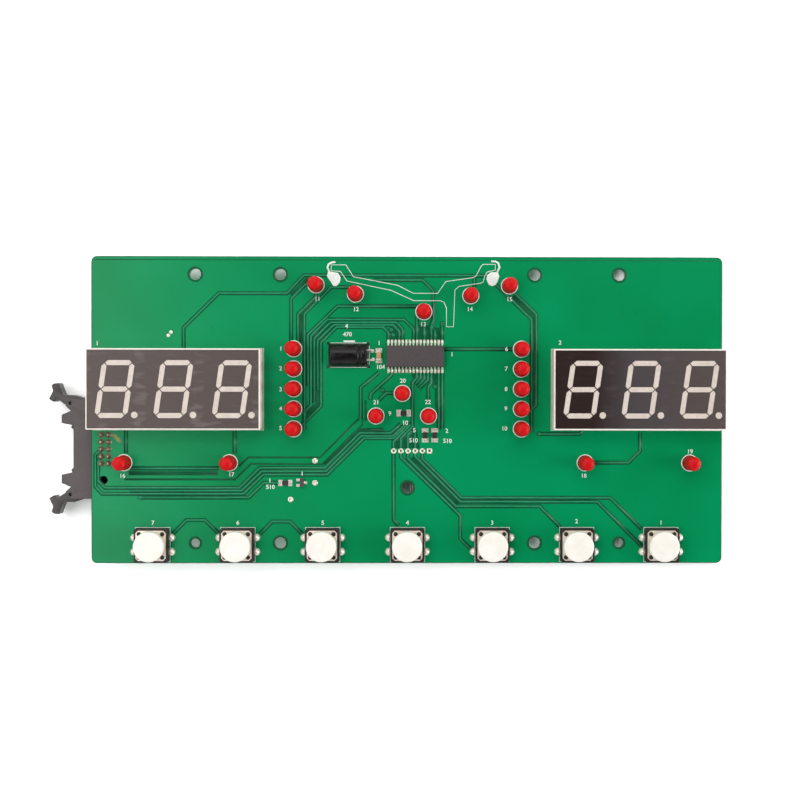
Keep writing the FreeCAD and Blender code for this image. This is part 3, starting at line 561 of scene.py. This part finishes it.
for node, finish in {
    "circuit_board": mask,
    "left_display_face": face,
    "right_display_face": face,
    "left_display_segments": cream,
    "right_display_segments": cream,
    "left_display_carrier": carrier,
    "right_display_carrier": carrier,
    "left_display_pins": tinned,
    "right_display_pins": tinned,
    "left_display_housing": white_abs,
    "right_display_housing": white_abs,
    "lamp_lenses": lens,
    "lamp_leads": tinned,
    "switch_bases": phenolic,
    "switch_covers": plated_steel,
    "switch_domes": plated_steel,
    "switch_terminals": tinned,
    "driver_chip_body": chip_epoxy,
    "driver_chip_leads": tinned,
    "capacitor_can": sleeve,
    "capacitor_bung": rubber,
    "capacitor_leads": tinned,
    "ceramic_capacitor_body": ceramic,
    "ceramic_capacitor_ends": solder,
    "resistor_bodies": glaze,
    "resistor_ends": solder,
    "transistor_body": chip_epoxy,
    "transistor_leads": tinned,
    "header_shroud": nylon,
    "header_pins": dull_pin,
    "upper_latch": latch_nylon,
    "lower_latch": latch_nylon,
}.items():
    nodes[node].data.materials.clear()
    nodes[node].data.materials.append(finish)
KEYS = range(1, 8)
for i in KEYS:
    for part in (f"key_cap_{i}", f"key_stem_{i}"):
        nodes[part].data.materials.clear()
        nodes[part].data.materials.append(cap_abs)

# Copper under the mask: tracks, and the gaps that part the pours

TRACKS = [
    # From the rim lamps to the bundle beside the left lamp row
    [
        (-79.1, 21.3), (-79.1, 28.6), (-66.7, 40.8), (-42.6, 40.8), (-36.7, 47.2), (28.0, 47.2), (43.9, 31.7),
        (43.9, -8.3),
    ],
    [(36.0, 43.5), (38.1, 40.8), (45.6, 33.6), (45.6, 1.5), (42.0, -2.0)],
    [(-33.0, 43.9), (-36.2, 43.9), (-41.2, 38.9), (-41.2, 22.8)],
    [(-32.4, 42.4), (-32.4, 39.8), (-38.8, 33.4), (-38.8, 22.8)],
    [(-36.5, -7.6), (-36.5, 33.6), (-27.1, 43.0), (-18.7, 43.0)],
    [(5.7, 36.3), (-24.8, 36.3), (-35.3, 26.2), (-35.3, 8.0)],
    # Four tracks round to the chip's upper row
    [(-37.3, -1.7), (-34.2, 1.3), (-34.2, 25.8), (-28.4, 31.6), (-1.3, 31.6), (2.1, 28.4), (2.1, 24.2)],
    [(-33.0, 2.1), (-33.0, 25.0), (-27.3, 30.6), (-4.0, 30.6), (-1.8, 28.4), (-1.8, 24.2)],
    [(-31.8, 6.7), (-31.8, 24.2), (-26.1, 29.7), (-5.2, 29.7), (-3.0, 27.5), (-3.0, 24.2)],
    [(-37.3, -5.6), (-30.6, 1.0), (-30.6, 23.5), (-25.2, 28.9), (-8.7, 28.9), (-6.8, 27.0), (-6.8, 24.2)],
    [(-12.0, 45.6), (5.3, 45.6), (9.1, 41.8), (9.1, 31.5), (8.4, 30.0), (8.4, 24.2)],
    [(23.6, 46.4), (23.6, 43.2)],
    [(12.8, 21.2), (37.1, 21.2)],
    [(3.3, 33.0), (3.3, 24.2)],
    [(5.9, 30.5), (5.9, 24.2)],
    [(9.7, 28.0), (9.7, 24.2)],
    [(12.2, 30.0), (12.2, 24.2)],
    # Chip's lower row
    [(-10.1, 13.0), (-16.6, 7.6), (-16.6, -3.4)],
    [(-5.6, 13.0), (-5.6, 12.1), (-13.0, 5.3), (-13.3, 3.6)],
    [(-4.6, 5.6), (-7.6, 5.6), (-10.1, 3.2)],
    [(3.3, 13.0), (3.3, 11.0), (1.7, 9.2), (1.7, -6.0)],
    [(4.6, 13.0), (4.6, 11.0), (2.8, 8.9)],
    [(5.9, 13.0), (5.9, 10.6), (3.4, 7.8)],
    [(7.2, 13.0), (7.2, 10.3), (4.0, 7.1)],
    [(8.4, 13.0), (8.4, 9.2), (7.3, 7.8), (7.3, 2.1)],
    [(11.0, 13.0), (11.0, -7.4)],
    [(12.3, 13.0), (12.3, -7.0)],
    # Header fan and the long runs along the lower half
    [
        (-108.1, -14.3), (-110.2, -16.4), (-110.2, -27.6), (-107.8, -30.1), (-58.0, -30.1), (-51.0, -23.3),
        (-28.5, -23.3), (-15.4, -10.4), (-4.9, -10.4), (0.2, -5.3),
    ],
    [
        (-108.1, -16.8), (-109.2, -18.8), (-109.2, -25.6), (-106.9, -28.0), (-59.5, -28.0), (-52.3, -20.9),
        (-29.2, -20.9), (-16.9, -8.5), (-6.0, -8.5), (-2.4, -5.3),
    ],
    [
        (-98.0, -29.0), (-58.7, -29.0), (-51.6, -22.1), (-28.8, -22.1), (-16.4, -9.6), (-5.1, -9.6),
        (-1.1, -5.6),
    ],
    [(-94.4, -31.4), (-56.1, -31.4), (-50.8, -26.2), (-46.2, -26.2)],
    [(-98.0, -21.1), (-66.8, -21.1)],
    [(-99.4, -7.6), (-99.4, -15.8)],
    [(-61.1, -7.6), (-61.1, -15.8)],
    # Six spare pads
    [(-5.0, -14.9), (-5.0, -11.6), (1.0, -5.6)],
    [(-2.4, -14.9), (-2.4, -10.3), (2.1, -5.8)],
    [(0.1, -14.9), (0.1, -9.1), (1.4, -7.8)],
    [(2.7, -14.9), (2.7, -8.3)],
    [(-5.0, -14.9), (-4.9, -39.4), (-3.1, -41.4)],
    [(-2.4, -14.9), (-2.4, -17.1), (17.6, -36.7), (18.7, -38.0), (18.7, -46.0), (22.4, -49.7)],
    [(0.1, -14.9), (0.1, -17.6), (17.1, -34.5), (46.9, -34.5), (54.4, -42.1)],
    [(2.7, -14.9), (2.7, -16.8), (18.7, -32.9), (67.4, -32.9), (83.5, -49.0)],
    [(5.2, -14.9), (5.2, -17.6), (19.1, -31.5), (72.0, -31.5), (83.2, -42.6)],
    # Jumps round the lower mounting holes and the right half
    [(-83.0, -44.3), (-78.1, -39.4), (-71.6, -39.4), (-66.6, -44.3)],
    [(-52.3, -44.4), (-47.8, -39.9), (-41.6, -39.9), (-37.1, -44.4)],
    [(66.2, -19.0), (78.4, -19.0), (82.5, -14.9), (82.5, -8.3)],
    [(46.6, -8.8), (61.1, -8.8), (62.3, -7.6)],
]
POUR_GAPS = [
    [(-59.7, -20.4), (-56.3, -17.2), (-31.0, -17.2), (-17.2, -3.4)],
    [(-100.0, -25.0), (-61.0, -25.0), (-55.4, -19.5), (-29.9, -19.5), (-16.0, -5.6), (-16.0, -3.4)],
    [(-98.5, -22.5), (-67.0, -22.5)],
    [(-98.5, -23.2), (-67.0, -23.2)],
    [(-14.9, 3.0), (-14.9, -4.2)],
]
# Bands and patches where the pours stop short and the laminate shows between tracks
BARE_BANDS = [
    [(-35.2, 46.2), (-41.3, 40.1)],
    [(-37.65, 33.6), (-37.65, 22.8)],
    [(-31.9, 6.6), (-31.9, 1.6), (-37.2, -3.7)],
    [(37.2, 39.9), (44.75, 32.6), (44.75, 2.0)],
    [(-29.6, -19.5), (-17.3, -7.4), (-8.4, -7.4)],
    [(1.4, -17.2), (18.1, -33.9)],
]
BARE_PATCHES = [
    [(-7.4, 28.4), (-4.9, 28.4), (-3.6, 27.2), (-3.6, 24.4), (-6.2, 24.4), (-6.2, 27.2)],
    [(3.8, 24.4), (12.0, 24.4), (12.0, 28.8), (9.9, 28.8), (8.9, 29.6), (3.8, 29.6)],
    [(8.6, 12.6), (12.6, 12.6), (12.6, -4.0), (9.6, 0.6), (9.6, 8.6), (8.6, 9.6)],
    [(1.2, 12.6), (7.8, 12.6), (7.8, 9.6), (5.0, 7.0), (2.4, 8.8)],
    [(-4.4, -14.0), (4.4, -14.0), (3.2, -7.0), (0.8, -4.4), (-0.6, -5.4), (-4.4, -9.4)],
]
VIAS = [
    (46.6, -8.8), (-94.4, -31.4), (12.2, 30.2), (-5.8, 28.0), (-5.2, 26.2), (9.7, 7.9), (8.4, 28.8),
    (-13.2, 4.0), (-8.9, 6.6),
]
POUR_VIAS = [(-102.5, 34.5), (-69.3, 28.6), (76.2, 34.3), (80.7, 34.1)]
HOLES = [(x, y, 4.0) for x in (-45.0, 45.0) for y in (-47.5, 47.5)]
HOLES += [(-75.0, 47.5, 4.0), (75.0, 47.5, 4.0)]
HOLES += [(-75.0, -47.5, 3.2), (75.0, -47.5, 3.2), (0.0, -27.9, 4.1)]
BOARD_END = 111.6
BOARD_BACK = 53.85
BOARD_FRONT = -54.65
BOARD_CORNER = 2.0
FRINGE = 0.13
TOP_LINE = [(-110.5, 52.6), (110.5, 52.6)]
TOP_LINE_WIDTH = 0.28
POUR_GAP_WIDTH = 0.75
BAND_WIDTH = 1.3
HOLE_MARGIN = 0.4
HOLE_RING_WIDTH = 0.72
VIA_SIDES = 16
VIA_CLEARING = 0.95
VIA_RADIUS = 0.4
VIA_WIDTH = 0.34
POUR_VIA_SIDES = 12
POUR_VIA_RADIUS = 0.22
# Tops of the layers of gaps: no two share a plane
POUR_GAP_TOP = GAP_TOP - 0.004
BAND_TOP = GAP_TOP - 0.0053
PATCH_TOP = GAP_TOP - 0.0071
CLEARING_TOP = GAP_TOP - 0.0027
BORDER_TOP = GAP_TOP - 0.006
VIA_TOP = TRACK_TOP + 0.0303


def board_border(inset):
    """A line just inside the board's outline, with the corners rounded in three steps."""
    turns = (
        (BOARD_END, BOARD_BACK), (-BOARD_END, BOARD_BACK),
        (-BOARD_END, BOARD_FRONT), (BOARD_END, BOARD_FRONT),
    )
    bend = BOARD_CORNER - inset
    steps = 3
    route = []
    for i, (x, y) in enumerate(turns):
        cx = x - math.copysign(BOARD_CORNER, x)
        cy = y - math.copysign(BOARD_CORNER, y)
        for step in range(steps + 1):
            angle = math.pi / 2 * (i + step / steps)
            route.append((cx + bend * math.cos(angle), cy + bend * math.sin(angle)))
    return route


hole_rings = [ring(x, y, bore / 2 + HOLE_MARGIN) for x, y, bore in HOLES]
via_clearings = [ring(x, y, VIA_CLEARING, VIA_SIDES) for x, y in VIAS]
pour_via_dots = [ring(x, y, POUR_VIA_RADIUS, POUR_VIA_SIDES) for x, y in POUR_VIAS]
gaps = [
    drawn_lines(TRACKS, GAP_WIDTH, SUNK, GAP_TOP, False),
    drawn_lines(POUR_GAPS, POUR_GAP_WIDTH, SUNK, POUR_GAP_TOP, False),
    drawn_lines(hole_rings, HOLE_RING_WIDTH, SUNK, POUR_GAP_TOP, True),
    drawn_lines(BARE_BANDS, BAND_WIDTH, SUNK, BAND_TOP, False),
    drawn_shapes(BARE_PATCHES, SUNK, PATCH_TOP),
    drawn_shapes(via_clearings, SUNK, CLEARING_TOP),
    drawn_shapes(pour_via_dots, SUNK, CLEARING_TOP),
    drawn_lines([board_border(FRINGE)], 2 * FRINGE, SUNK, BORDER_TOP, True),
    drawn_lines([TOP_LINE], TOP_LINE_WIDTH, SUNK, BORDER_TOP, False),
]
dress(joined(gaps, "pour_gaps"), "board", bare_mask)
via_rings = [ring(x, y, VIA_RADIUS, VIA_SIDES) for x, y in VIAS]
copper = [
    drawn_lines(TRACKS, TRACK_WIDTH, SUNK, TRACK_TOP, False),
    drawn_lines(via_rings, VIA_WIDTH, SUNK, VIA_TOP, True),
]
dress(joined(copper, "tracks"), "board", track_mask)

# Printed ink: the rim figure, lamp rings, part outlines and plain numbers

RIM = [
    (-27.0, 50.9), (-21.9, 50.9), (-19.2, 46.7), (-3.5, 43.7), (1.9, 40.9), (10.6, 40.9), (13.5, 45.1),
    (23.1, 46.5), (24.2, 47.1), (26.0, 50.6), (26.7, 51.2), (31.0, 51.2), (31.0, 49.2), (28.1, 48.5),
    (27.2, 46.9), (26.7, 44.9), (25.6, 44.5), (18.2, 43.4), (16.7, 42.1), (16.2, 29.1), (13.7, 29.1),
    (13.7, 35.7), (12.8, 37.8), (11.7, 38.3), (2.1, 38.3), (-5.8, 41.9), (-21.5, 45.2), (-23.8, 48.6),
    (-27.1, 48.8),
]
LEFT_WEIGHT = [
    (-28.1, 48.7), (-24.6, 48.0), (-23.7, 46.4), (-24.0, 44.8), (-25.1, 43.4), (-26.4, 43.5), (-27.2, 44.9),
    (-28.6, 46.9),
]
LEFT_CLIP = [(-27.8, 48.5), (-28.4, 50.0), (-28.0, 51.1), (-27.0, 51.7), (-25.6, 51.9)]
RIGHT_WEIGHT = [
    (31.9, 48.5), (32.4, 47.0), (31.7, 44.9), (31.0, 43.9), (29.8, 43.5), (28.7, 44.0), (27.8, 46.0),
    (28.1, 47.4), (29.4, 48.4),
]
RIGHT_CLIP = [(31.7, 48.5), (32.5, 50.2), (32.0, 51.7), (31.1, 52.2), (29.5, 52.3)]
LAMP_ROW_X = 40.3
LAMP_ROW_TOP = 21.2
LAMP_PITCH = 7.07
LAMPS = (
    [(-LAMP_ROW_X, LAMP_ROW_TOP - LAMP_PITCH * i) for i in range(5)]
    + [(LAMP_ROW_X, LAMP_ROW_TOP - LAMP_PITCH * i) for i in range(5)]
    + [(-32.4, 43.8), (-18.5, 40.6), (5.7, 34.4), (22.3, 40.1), (36.0, 43.6)]
    + [(-100.2, -19.1), (-63.0, -19.1), (63.0, -19.1), (100.2, -19.1)]
    + [(-1.9, 5.5), (-11.2, -2.5), (7.4, -2.5)]
)
KEY_START = 120.0
KEY_PITCH = 30.0
KEY_Y = -48.1
KEY_SPOTS = [(KEY_START - KEY_PITCH * i, KEY_Y) for i in KEYS]
DISPLAY_SPOTS = [(-81.4, 6.85), (81.4, 6.85)]
NUMBERS = [
    ("1", -44.8, 21.2), ("2", -44.9, 14.2), ("3", -44.9, 6.8), ("4", -44.9, 0.0), ("5", -44.9, -6.9),
    ("6", 35.0, 21.2), ("7", 34.9, 14.2), ("8", 34.9, 7.0), ("9", 34.8, 0.1), ("10", 34.3, -7.0),
    ("11", -31.9, 38.8), ("12", -18.3, 35.2), ("13", 5.5, 29.9), ("14", 22.0, 35.3), ("15", 36.0, 38.8),
    ("16", -100.7, -23.8), ("17", -62.3, -23.3), ("18", 62.5, -23.7), ("19", 100.3, -15.1),
    ("20", -1.7, 9.9), ("21", -11.1, 2.3), ("22", 7.2, 2.4),
    ("1", -109.5, 23.0), ("2", 54.0, 23.5),
    ("9", -6.3, -1.7), ("5", 2.4, -7.6), ("2", 13.9, -7.8),
    ("510", 2.1, -11.2), ("510", 14.1, -11.4), ("510", -48.5, -27.7),
    ("4", -21.6, 29.2), ("470", -21.3, 26.3), ("10", -0.9, -5.0),
    ("1", -10.1, 23.2), ("104", -9.6, 14.8), ("1", 15.7, 19.3),
    ("1", -48.7, -25.5), ("1", -37.3, -23.0),
    ("7", -90.0, -40.4), ("6", -60.0, -40.4), ("5", -30.0, -40.4), ("4", 0.0, -40.4), ("3", 30.0, -40.4),
    ("2", 60.0, -39.9), ("1", 90.0, -40.4),
]
SLOT_LINES = [
    [(-27.3, 23.3), (-14.6, 23.3)],
    [(-27.3, 14.7), (-14.6, 14.7)],
    [(-13.55, 15.7), (-13.55, 22.3)],
]
POLARITY_BAR = oblong(-20.7, 23.9, 4.0, 0.6)
BLOCK_TOP = INK_TOP + 0.004
RIM_WIDTH = 0.23
CLIP_WIDTH = 0.65
LAMP_RING_RADIUS = 2.82
LAMP_RING_WIDTH = 0.4
SWITCH_SQUARE = 12.2
SWITCH_LINE_WIDTH = 0.2
OUTLINE_WIDTH = 0.22
DISPLAY_HALF_LENGTH = 30.5
DISPLAY_HALF_WIDTH = 14.4
INK_END = 111.3


def display_outline(x, y):
    """Three sides round a readout: the fourth would lie past the end of the board."""
    inner = x - math.copysign(DISPLAY_HALF_LENGTH, x)
    outer = math.copysign(INK_END, x)
    low, high = y - DISPLAY_HALF_WIDTH, y + DISPLAY_HALF_WIDTH
    return [(outer, low), (inner, low), (inner, high), (outer, high)]


lamp_rings = [ring(x, y, LAMP_RING_RADIUS) for x, y in LAMPS]
switch_squares = [oblong(x, y, SWITCH_SQUARE, SWITCH_SQUARE) for x, y in KEY_SPOTS]
display_lines = [display_outline(x, y) for x, y in DISPLAY_SPOTS]
print_parts = [
    drawn_lines([RIM], RIM_WIDTH, SUNK, INK_TOP, True),
    drawn_lines([LEFT_CLIP, RIGHT_CLIP], CLIP_WIDTH, SUNK, INK_TOP, False),
    drawn_shapes([LEFT_WEIGHT, RIGHT_WEIGHT, POLARITY_BAR], SUNK, BLOCK_TOP),
    drawn_lines(lamp_rings, LAMP_RING_WIDTH, SUNK, INK_TOP, True),
    drawn_lines(switch_squares, SWITCH_LINE_WIDTH, SUNK, INK_TOP, True),
    drawn_lines(display_lines, OUTLINE_WIDTH, SUNK, INK_TOP, False),
    drawn_lines(SLOT_LINES, OUTLINE_WIDTH, SUNK, INK_TOP, False),
]
print_parts += [numeral(text, x, y, NUMERAL_HEIGHT) for text, x, y in NUMBERS]
dress(joined(print_parts, "printed_ink"), "board", ink)

# Bare tinned copper and solder on the component face

CHIP_X = 2.7
CHIP_Y = 18.6
CHIP_FEET = 16
CHIP_PITCH = 1.27
FOOT_NEAR = 4.1
FOOT_FAR = 5.9
FOOT_WIDTH = 0.8
PIN_PITCH = 2.54
chip_feet = []
for i in range(CHIP_FEET):
    x = CHIP_X + CHIP_PITCH * (i - (CHIP_FEET - 1) / 2)
    chip_feet.append([(x, CHIP_Y + FOOT_NEAR), (x, CHIP_Y + FOOT_FAR)])
    chip_feet.append([(x, CHIP_Y - FOOT_NEAR), (x, CHIP_Y - FOOT_FAR)])
# Parts with two ends: middle, step from the middle to each pad, size of a pad
TWO_PAD_PARTS = [
    ((-43.2, -26.25), (1.7, 0.0), (1.5, 2.2)),
    ((-1.4, -1.5), (1.7, 0.0), (1.7, 2.4)),
    ((6.2, -9.35), (0.0, 1.7), (2.4, 1.6)),
    ((9.6, -9.35), (0.0, 1.7), (2.4, 1.6)),
    ((-10.2, 18.85), (0.0, 1.8), (2.3, 1.7)),
]
TRANSISTOR_PADS = [(-38.75, -25.2), (-38.75, -27.1), (-36.1, -26.15)]
TRANSISTOR_PAD_SIZE = (1.2, 0.95)
pad_shapes = []
for (x, y), (dx, dy), size in TWO_PAD_PARTS:
    pad_shapes.append(oblong(x - dx, y - dy, *size))
    pad_shapes.append(oblong(x + dx, y + dy, *size))
pad_shapes += [oblong(x, y, *TRANSISTOR_PAD_SIZE) for x, y in TRANSISTOR_PADS]
# A spare row of pads: five round ones and a square one
SPARE_X = [-4.95 + PIN_PITCH * i for i in range(6)]
SPARE_Y = -14.9
SPARE_RADIUS = 0.68
SPARE_SIDES = 24
SPARE_WIDTH = 0.55
SPARE_SQUARE = 1.3
SPARE_SQUARE_WIDTH = 0.8
spare_rings = [ring(x, SPARE_Y, SPARE_RADIUS, SPARE_SIDES) for x in SPARE_X[:5]]
spare_square = oblong(SPARE_X[5], SPARE_Y, SPARE_SQUARE, SPARE_SQUARE)
pads = [
    drawn_lines(chip_feet, FOOT_WIDTH, SUNK, TIN_TOP, False),
    drawn_shapes(pad_shapes, SUNK, TIN_TOP),
    drawn_lines(spare_rings, SPARE_WIDTH, SUNK, TIN_TOP, True),
    drawn_lines([spare_square], SPARE_SQUARE_WIDTH, SUNK, TIN_TOP, True),
]
dress(joined(pads, "tinned_pads"), "board", solder)

SOLDER_SIDES = 20
LUMP = [(1.45, 1.6), (1.42, 1.8), (1.25, 2.2), (0.95, 2.55), (0.6, 2.75), (0.3, 2.95), (0.15, 3.0)]
LEG_X = 6.5
LEG_Y = 2.5
lump_spots = [(x + dx, y + dy) for x, y in KEY_SPOTS for dx in (-LEG_X, LEG_X) for dy in (-LEG_Y, LEG_Y)]
lumps = spread(turned(LUMP, SOLDER_SIDES), lump_spots, "switch_solder")
dress(smooth(lumps, SOLDER_SMOOTH), "board", solder)

SPOT = [(0.66, 1.6), (0.6, 1.75), (0.38, 1.87), (0.15, 1.9)]
SPOT_SIDES = 16
SPOT_PLACES = [(-84.5, 25.9), (-83.6, 27.0), (-12.4, 20.4), (-12.2, 17.5)]
spots = spread(turned(SPOT, SPOT_SIDES), SPOT_PLACES, "solder_spots")
dress(smooth(spots, SOLDER_SMOOTH), "board", solder)

TEST_POINT = [(1.0, 1.6), (0.97, 1.72), (0.75, 1.9), (0.5, 1.84), (0.2, 1.8)]
TEST_PLACES = [(-32.8, -26.2), (-32.8, -18.4), (-41.4, -32.1)]
points = spread(turned(TEST_POINT, SOLDER_SIDES), TEST_PLACES, "test_points")
dress(smooth(points, SOLDER_SMOOTH), "board", solder)

CONE = [(1.12, 1.6), (1.0, 1.72), (0.7, 2.05), (0.48, 2.5), (0.38, 2.95)]
PIN_ROWS = (-108.1, -105.56)
HEADER_Y = -14.3
pin_spots = [(x, HEADER_Y + PIN_PITCH * (i - 2)) for x in PIN_ROWS for i in range(5)]
cones = spread(turned(CONE, SOLDER_SIDES), pin_spots, "header_solder")
dress(smooth(cones, SOLDER_SMOOTH), "board", stained_solder)

ROSIN_PATCH = [
    (-104.6, -9.2), (-103.8, -8.6), (-102.4, -9.6), (-101.2, -11.0), (-101.0, -12.0), (-102.0, -11.9),
    (-103.6, -10.6),
]
patch = in_metres(drawn_shapes([ROSIN_PATCH], BOARD_TOP, TIN_TOP), "rosin_patch")
dress(patch, "board", rosin)

# Lamps: flanged foot, straight barrel and round nose

LENS_RADIUS = 2.5
LENS_SIDES = 32
NOSE_START = 8.2
NOSE_RISE = 2.0
NOSE_STEPS = 7
# The last step stops short of the tip, and the power makes the nose fuller than a ball
NOSE_WHOLE = 7.4
NOSE_POWER = 0.8
LENS_PROFILE = [(2.7, 1.6), (2.7, 2.5), (2.62, 2.6), (LENS_RADIUS, 2.6), (LENS_RADIUS, NOSE_START)]
for i in range(1, NOSE_STEPS + 1):
    angle = math.radians(90 * i / NOSE_WHOLE)
    out = LENS_RADIUS * math.cos(angle) ** NOSE_POWER
    LENS_PROFILE.append((out, NOSE_START + NOSE_RISE * math.sin(angle)))
lenses = spread(turned(LENS_PROFILE, LENS_SIDES), LAMPS, "lamp_lens_mouldings")
dress(smooth(lenses, MOULDED_SMOOTH), "board", lens)
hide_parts("lamp_lenses")

# Key tops and the heads of the posts that hold the switch covers

CAP_PROFILE = [
    (4.95, 6.0), (5.15, 6.1), (5.25, 6.4), (5.25, 9.0), (5.18, 9.25), (5.0, 9.37), (4.75, 9.4), (4.0, 9.39),
]
CAP_SIDES = 64
for i, spot in zip(KEYS, KEY_SPOTS):
    cap = spread(turned(CAP_PROFILE, CAP_SIDES), [spot], f"key_top_{i}")
    dress(smooth(cap, MOULDED_SMOOTH), f"key_{i}", cap_abs)
    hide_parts(f"key_cap_{i}")

POST = [(0.78, 5.1), (0.75, 5.25), (0.6, 5.35), (0.3, 5.4)]
POST_SIDES = 20
POST_OUT = 4.1
post_steps = [(dx, dy) for dx in (-POST_OUT, POST_OUT) for dy in (-POST_OUT, POST_OUT)]
post_spots = [(x + dx, y + dy) for x, y in KEY_SPOTS for dx, dy in post_steps]
posts = spread(turned(POST, POST_SIDES), post_spots, "cover_post_heads")
dress(smooth(posts, POST_SMOOTH), "board", phenolic)

# Electrolytic capacitor's sleeve, rolled in at the groove

CAN_PROFILE = [
    (3.3, 0.0), (3.7, 0.05), (3.95, 0.3), (4.0, 0.6), (4.0, 9.6), (3.9, 9.9), (3.55, 10.3), (3.55, 10.6),
    (3.9, 11.0), (4.0, 11.3), (4.0, 12.0), (3.9, 12.3), (3.6, 12.4), (3.3, 12.4),
]
CAN_SIDES = 48
CAN_Y = 19.0
CAN_Z = 1.9
can = turned(CAN_PROFILE, CAN_SIDES)
can_low, can_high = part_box("capacitor_can")
can.rotation_euler = (0, math.pi / 2, 0)
can.location = (can_low.x / MM, CAN_Y, CAN_Z)
pick(can)
bpy.ops.object.transform_apply(location=True, rotation=True, scale=True)
can = in_metres(can, "capacitor_sleeve")
dress(smooth(can, MOULDED_SMOOTH), "board", sleeve)
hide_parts("capacitor_can")

# Mouldings whose edges catch the light

SHELL_EASE = 0.15
CHIP_EASE = 0.12
NYLON_EASE = 0.25
softened("left_display_housing", SHELL_EASE, "left_display_shell", "board", white_abs)
softened("right_display_housing", SHELL_EASE, "right_display_shell", "board", white_abs)
softened("driver_chip_body", CHIP_EASE, "driver_chip_moulding", "board", chip_epoxy)
softened("header_shroud", NYLON_EASE, "header_moulding", "board", nylon)
softened("upper_latch", NYLON_EASE, "upper_latch_moulding", "upper_latch", latch_nylon)
softened("lower_latch", NYLON_EASE, "lower_latch_moulding", "lower_latch", latch_nylon)

# Table, light and camera

# The part rests on the header, a switch leg and a corner of the board, so the sheet slopes a little
TABLE_SIZE = 40
REST_SLOPE_X = 0.03795
REST_SLOPE_Y = 0.01174
REST_HEIGHT = -4.87
FADE_NEAR = 0.3
FADE_FAR = 0.8
bpy.ops.object.select_all(action="DESELECT")
bpy.ops.mesh.primitive_plane_add(size=TABLE_SIZE, location=(0, 0, 0))
table = active()
table.name = "table"
table.rotation_euler = (math.atan(REST_SLOPE_Y), -math.atan(REST_SLOPE_X), 0)
table.location = (0, 0, REST_HEIGHT * MM)
paper, tree, shader = blank("white_paper_sweep")
tree.nodes.remove(shader)
path = put(tree, "ShaderNodeLightPath")
seen = put(
    tree, "ShaderNodeMath", {"operation": "MAXIMUM"},
    {0: path.outputs["Is Camera Ray"], 1: path.outputs["Is Glossy Ray"]},
)
seen = put(
    tree, "ShaderNodeMath", {"operation": "MAXIMUM"},
    {0: seen.outputs[0], 1: path.outputs["Is Transmission Ray"]},
)
plain = put(tree, "ShaderNodeBsdfDiffuse", {"Color": linear("#dcdcdc")})
sheet = put(tree, "ShaderNodeBsdfDiffuse", {"Color": linear("#f6f6f6")})
lift = put(tree, "ShaderNodeBsdfDiffuse", {"Color": linear("#cccccc")})
lit = put(tree, "ShaderNodeAddShader", {}, {0: sheet.outputs[0], 1: lift.outputs[0]})
# Far from the part the sweep is plain white, so that no horizon shows
place = put(tree, "ShaderNodeTexCoord")
away = put(tree, "ShaderNodeVectorMath", {"operation": "LENGTH"}, {0: place.outputs["Object"]})
fade = put(
    tree, "ShaderNodeMapRange",
    {"interpolation_type": "SMOOTHSTEP", "From Min": FADE_NEAR, "From Max": FADE_FAR},
    {"Value": away.outputs["Value"]},
)
white = put(tree, "ShaderNodeEmission", {"Strength": 1.0})
sweep = put(tree, "ShaderNodeMixShader", {}, {0: fade.outputs[0], 1: lit.outputs[0], 2: white.outputs[0]})
shown = put(tree, "ShaderNodeMixShader", {}, {0: seen.outputs[0], 1: plain.outputs[0], 2: sweep.outputs[0]})
tree.links.new(shown.outputs[0], tree.nodes["Material Output"].inputs["Surface"])
table.data.materials.append(paper)

world = bpy.data.worlds.new("studio")
world.use_nodes = True
bpy.context.scene.world = world
tree = world.node_tree
toward = put(tree, "ShaderNodeTexCoord")
rise = put(tree, "ShaderNodeSeparateXYZ", {}, {"Vector": toward.outputs["Generated"]})
level = put(
    tree, "ShaderNodeMapRange",
    {"interpolation_type": "SMOOTHSTEP", "From Min": 0.3, "From Max": 0.92, "To Min": 1.0, "To Max": 0.05},
    {"Value": rise.outputs["Z"]},
)
tree.links.new(level.outputs[0], tree.nodes["Background"].inputs["Strength"])
tree.nodes["Background"].inputs["Color"].default_value = (1, 1, 1, 1)


def softbox(name, place, target, width, height, power):
    lamp = bpy.data.lights.new(name, "AREA")
    lamp.shape = "RECTANGLE"
    lamp.size = width
    lamp.size_y = height
    lamp.energy = power
    holder = bpy.data.objects.new(name, lamp)
    bpy.context.collection.objects.link(holder)
    holder.location = place
    aim = Matrix.Translation(target).translation - holder.location
    holder.rotation_euler = aim.to_track_quat("-Z", "Y").to_euler()
    return holder


softbox(
    "left_softbox", place=(-0.6, 0.25, 0.9), target=(-0.6, 0.25, 0.0), width=0.6, height=1.4, power=7.3,
)
softbox(
    "far_softbox", place=(0.15, 0.75, 1.1), target=(0.0, 0.0, 0.0), width=1.0, height=0.6, power=4.8,
)
softbox(
    "right_softbox", place=(1.25, -0.1, 0.45), target=(0.0, 0.0, 0.0), width=0.6, height=0.8, power=9.0,
)

CAMERA_PLACE = (8.016, 3.932, 426.67)
CAMERA_ROWS = (
    (0.999919, 0.001210, 0.012699),
    (-0.001114, 0.999971, -0.007547),
    (-0.012707, 0.007532, 0.999891),
)
lens_data = bpy.data.cameras.new("camera")
lens_data.sensor_width = 36
lens_data.lens = 54
lens_data.shift_x = -0.0569
lens_data.shift_y = 0.0086
lens_data.clip_start = 0.01
camera = bpy.data.objects.new("camera", lens_data)
bpy.context.collection.objects.link(camera)
turn = Matrix(CAMERA_ROWS).transposed().to_4x4()
camera.matrix_world = Matrix.Translation([c * MM for c in CAMERA_PLACE]) @ turn
bpy.context.scene.camera = camera
bpy.context.scene.view_settings.view_transform = "Standard"
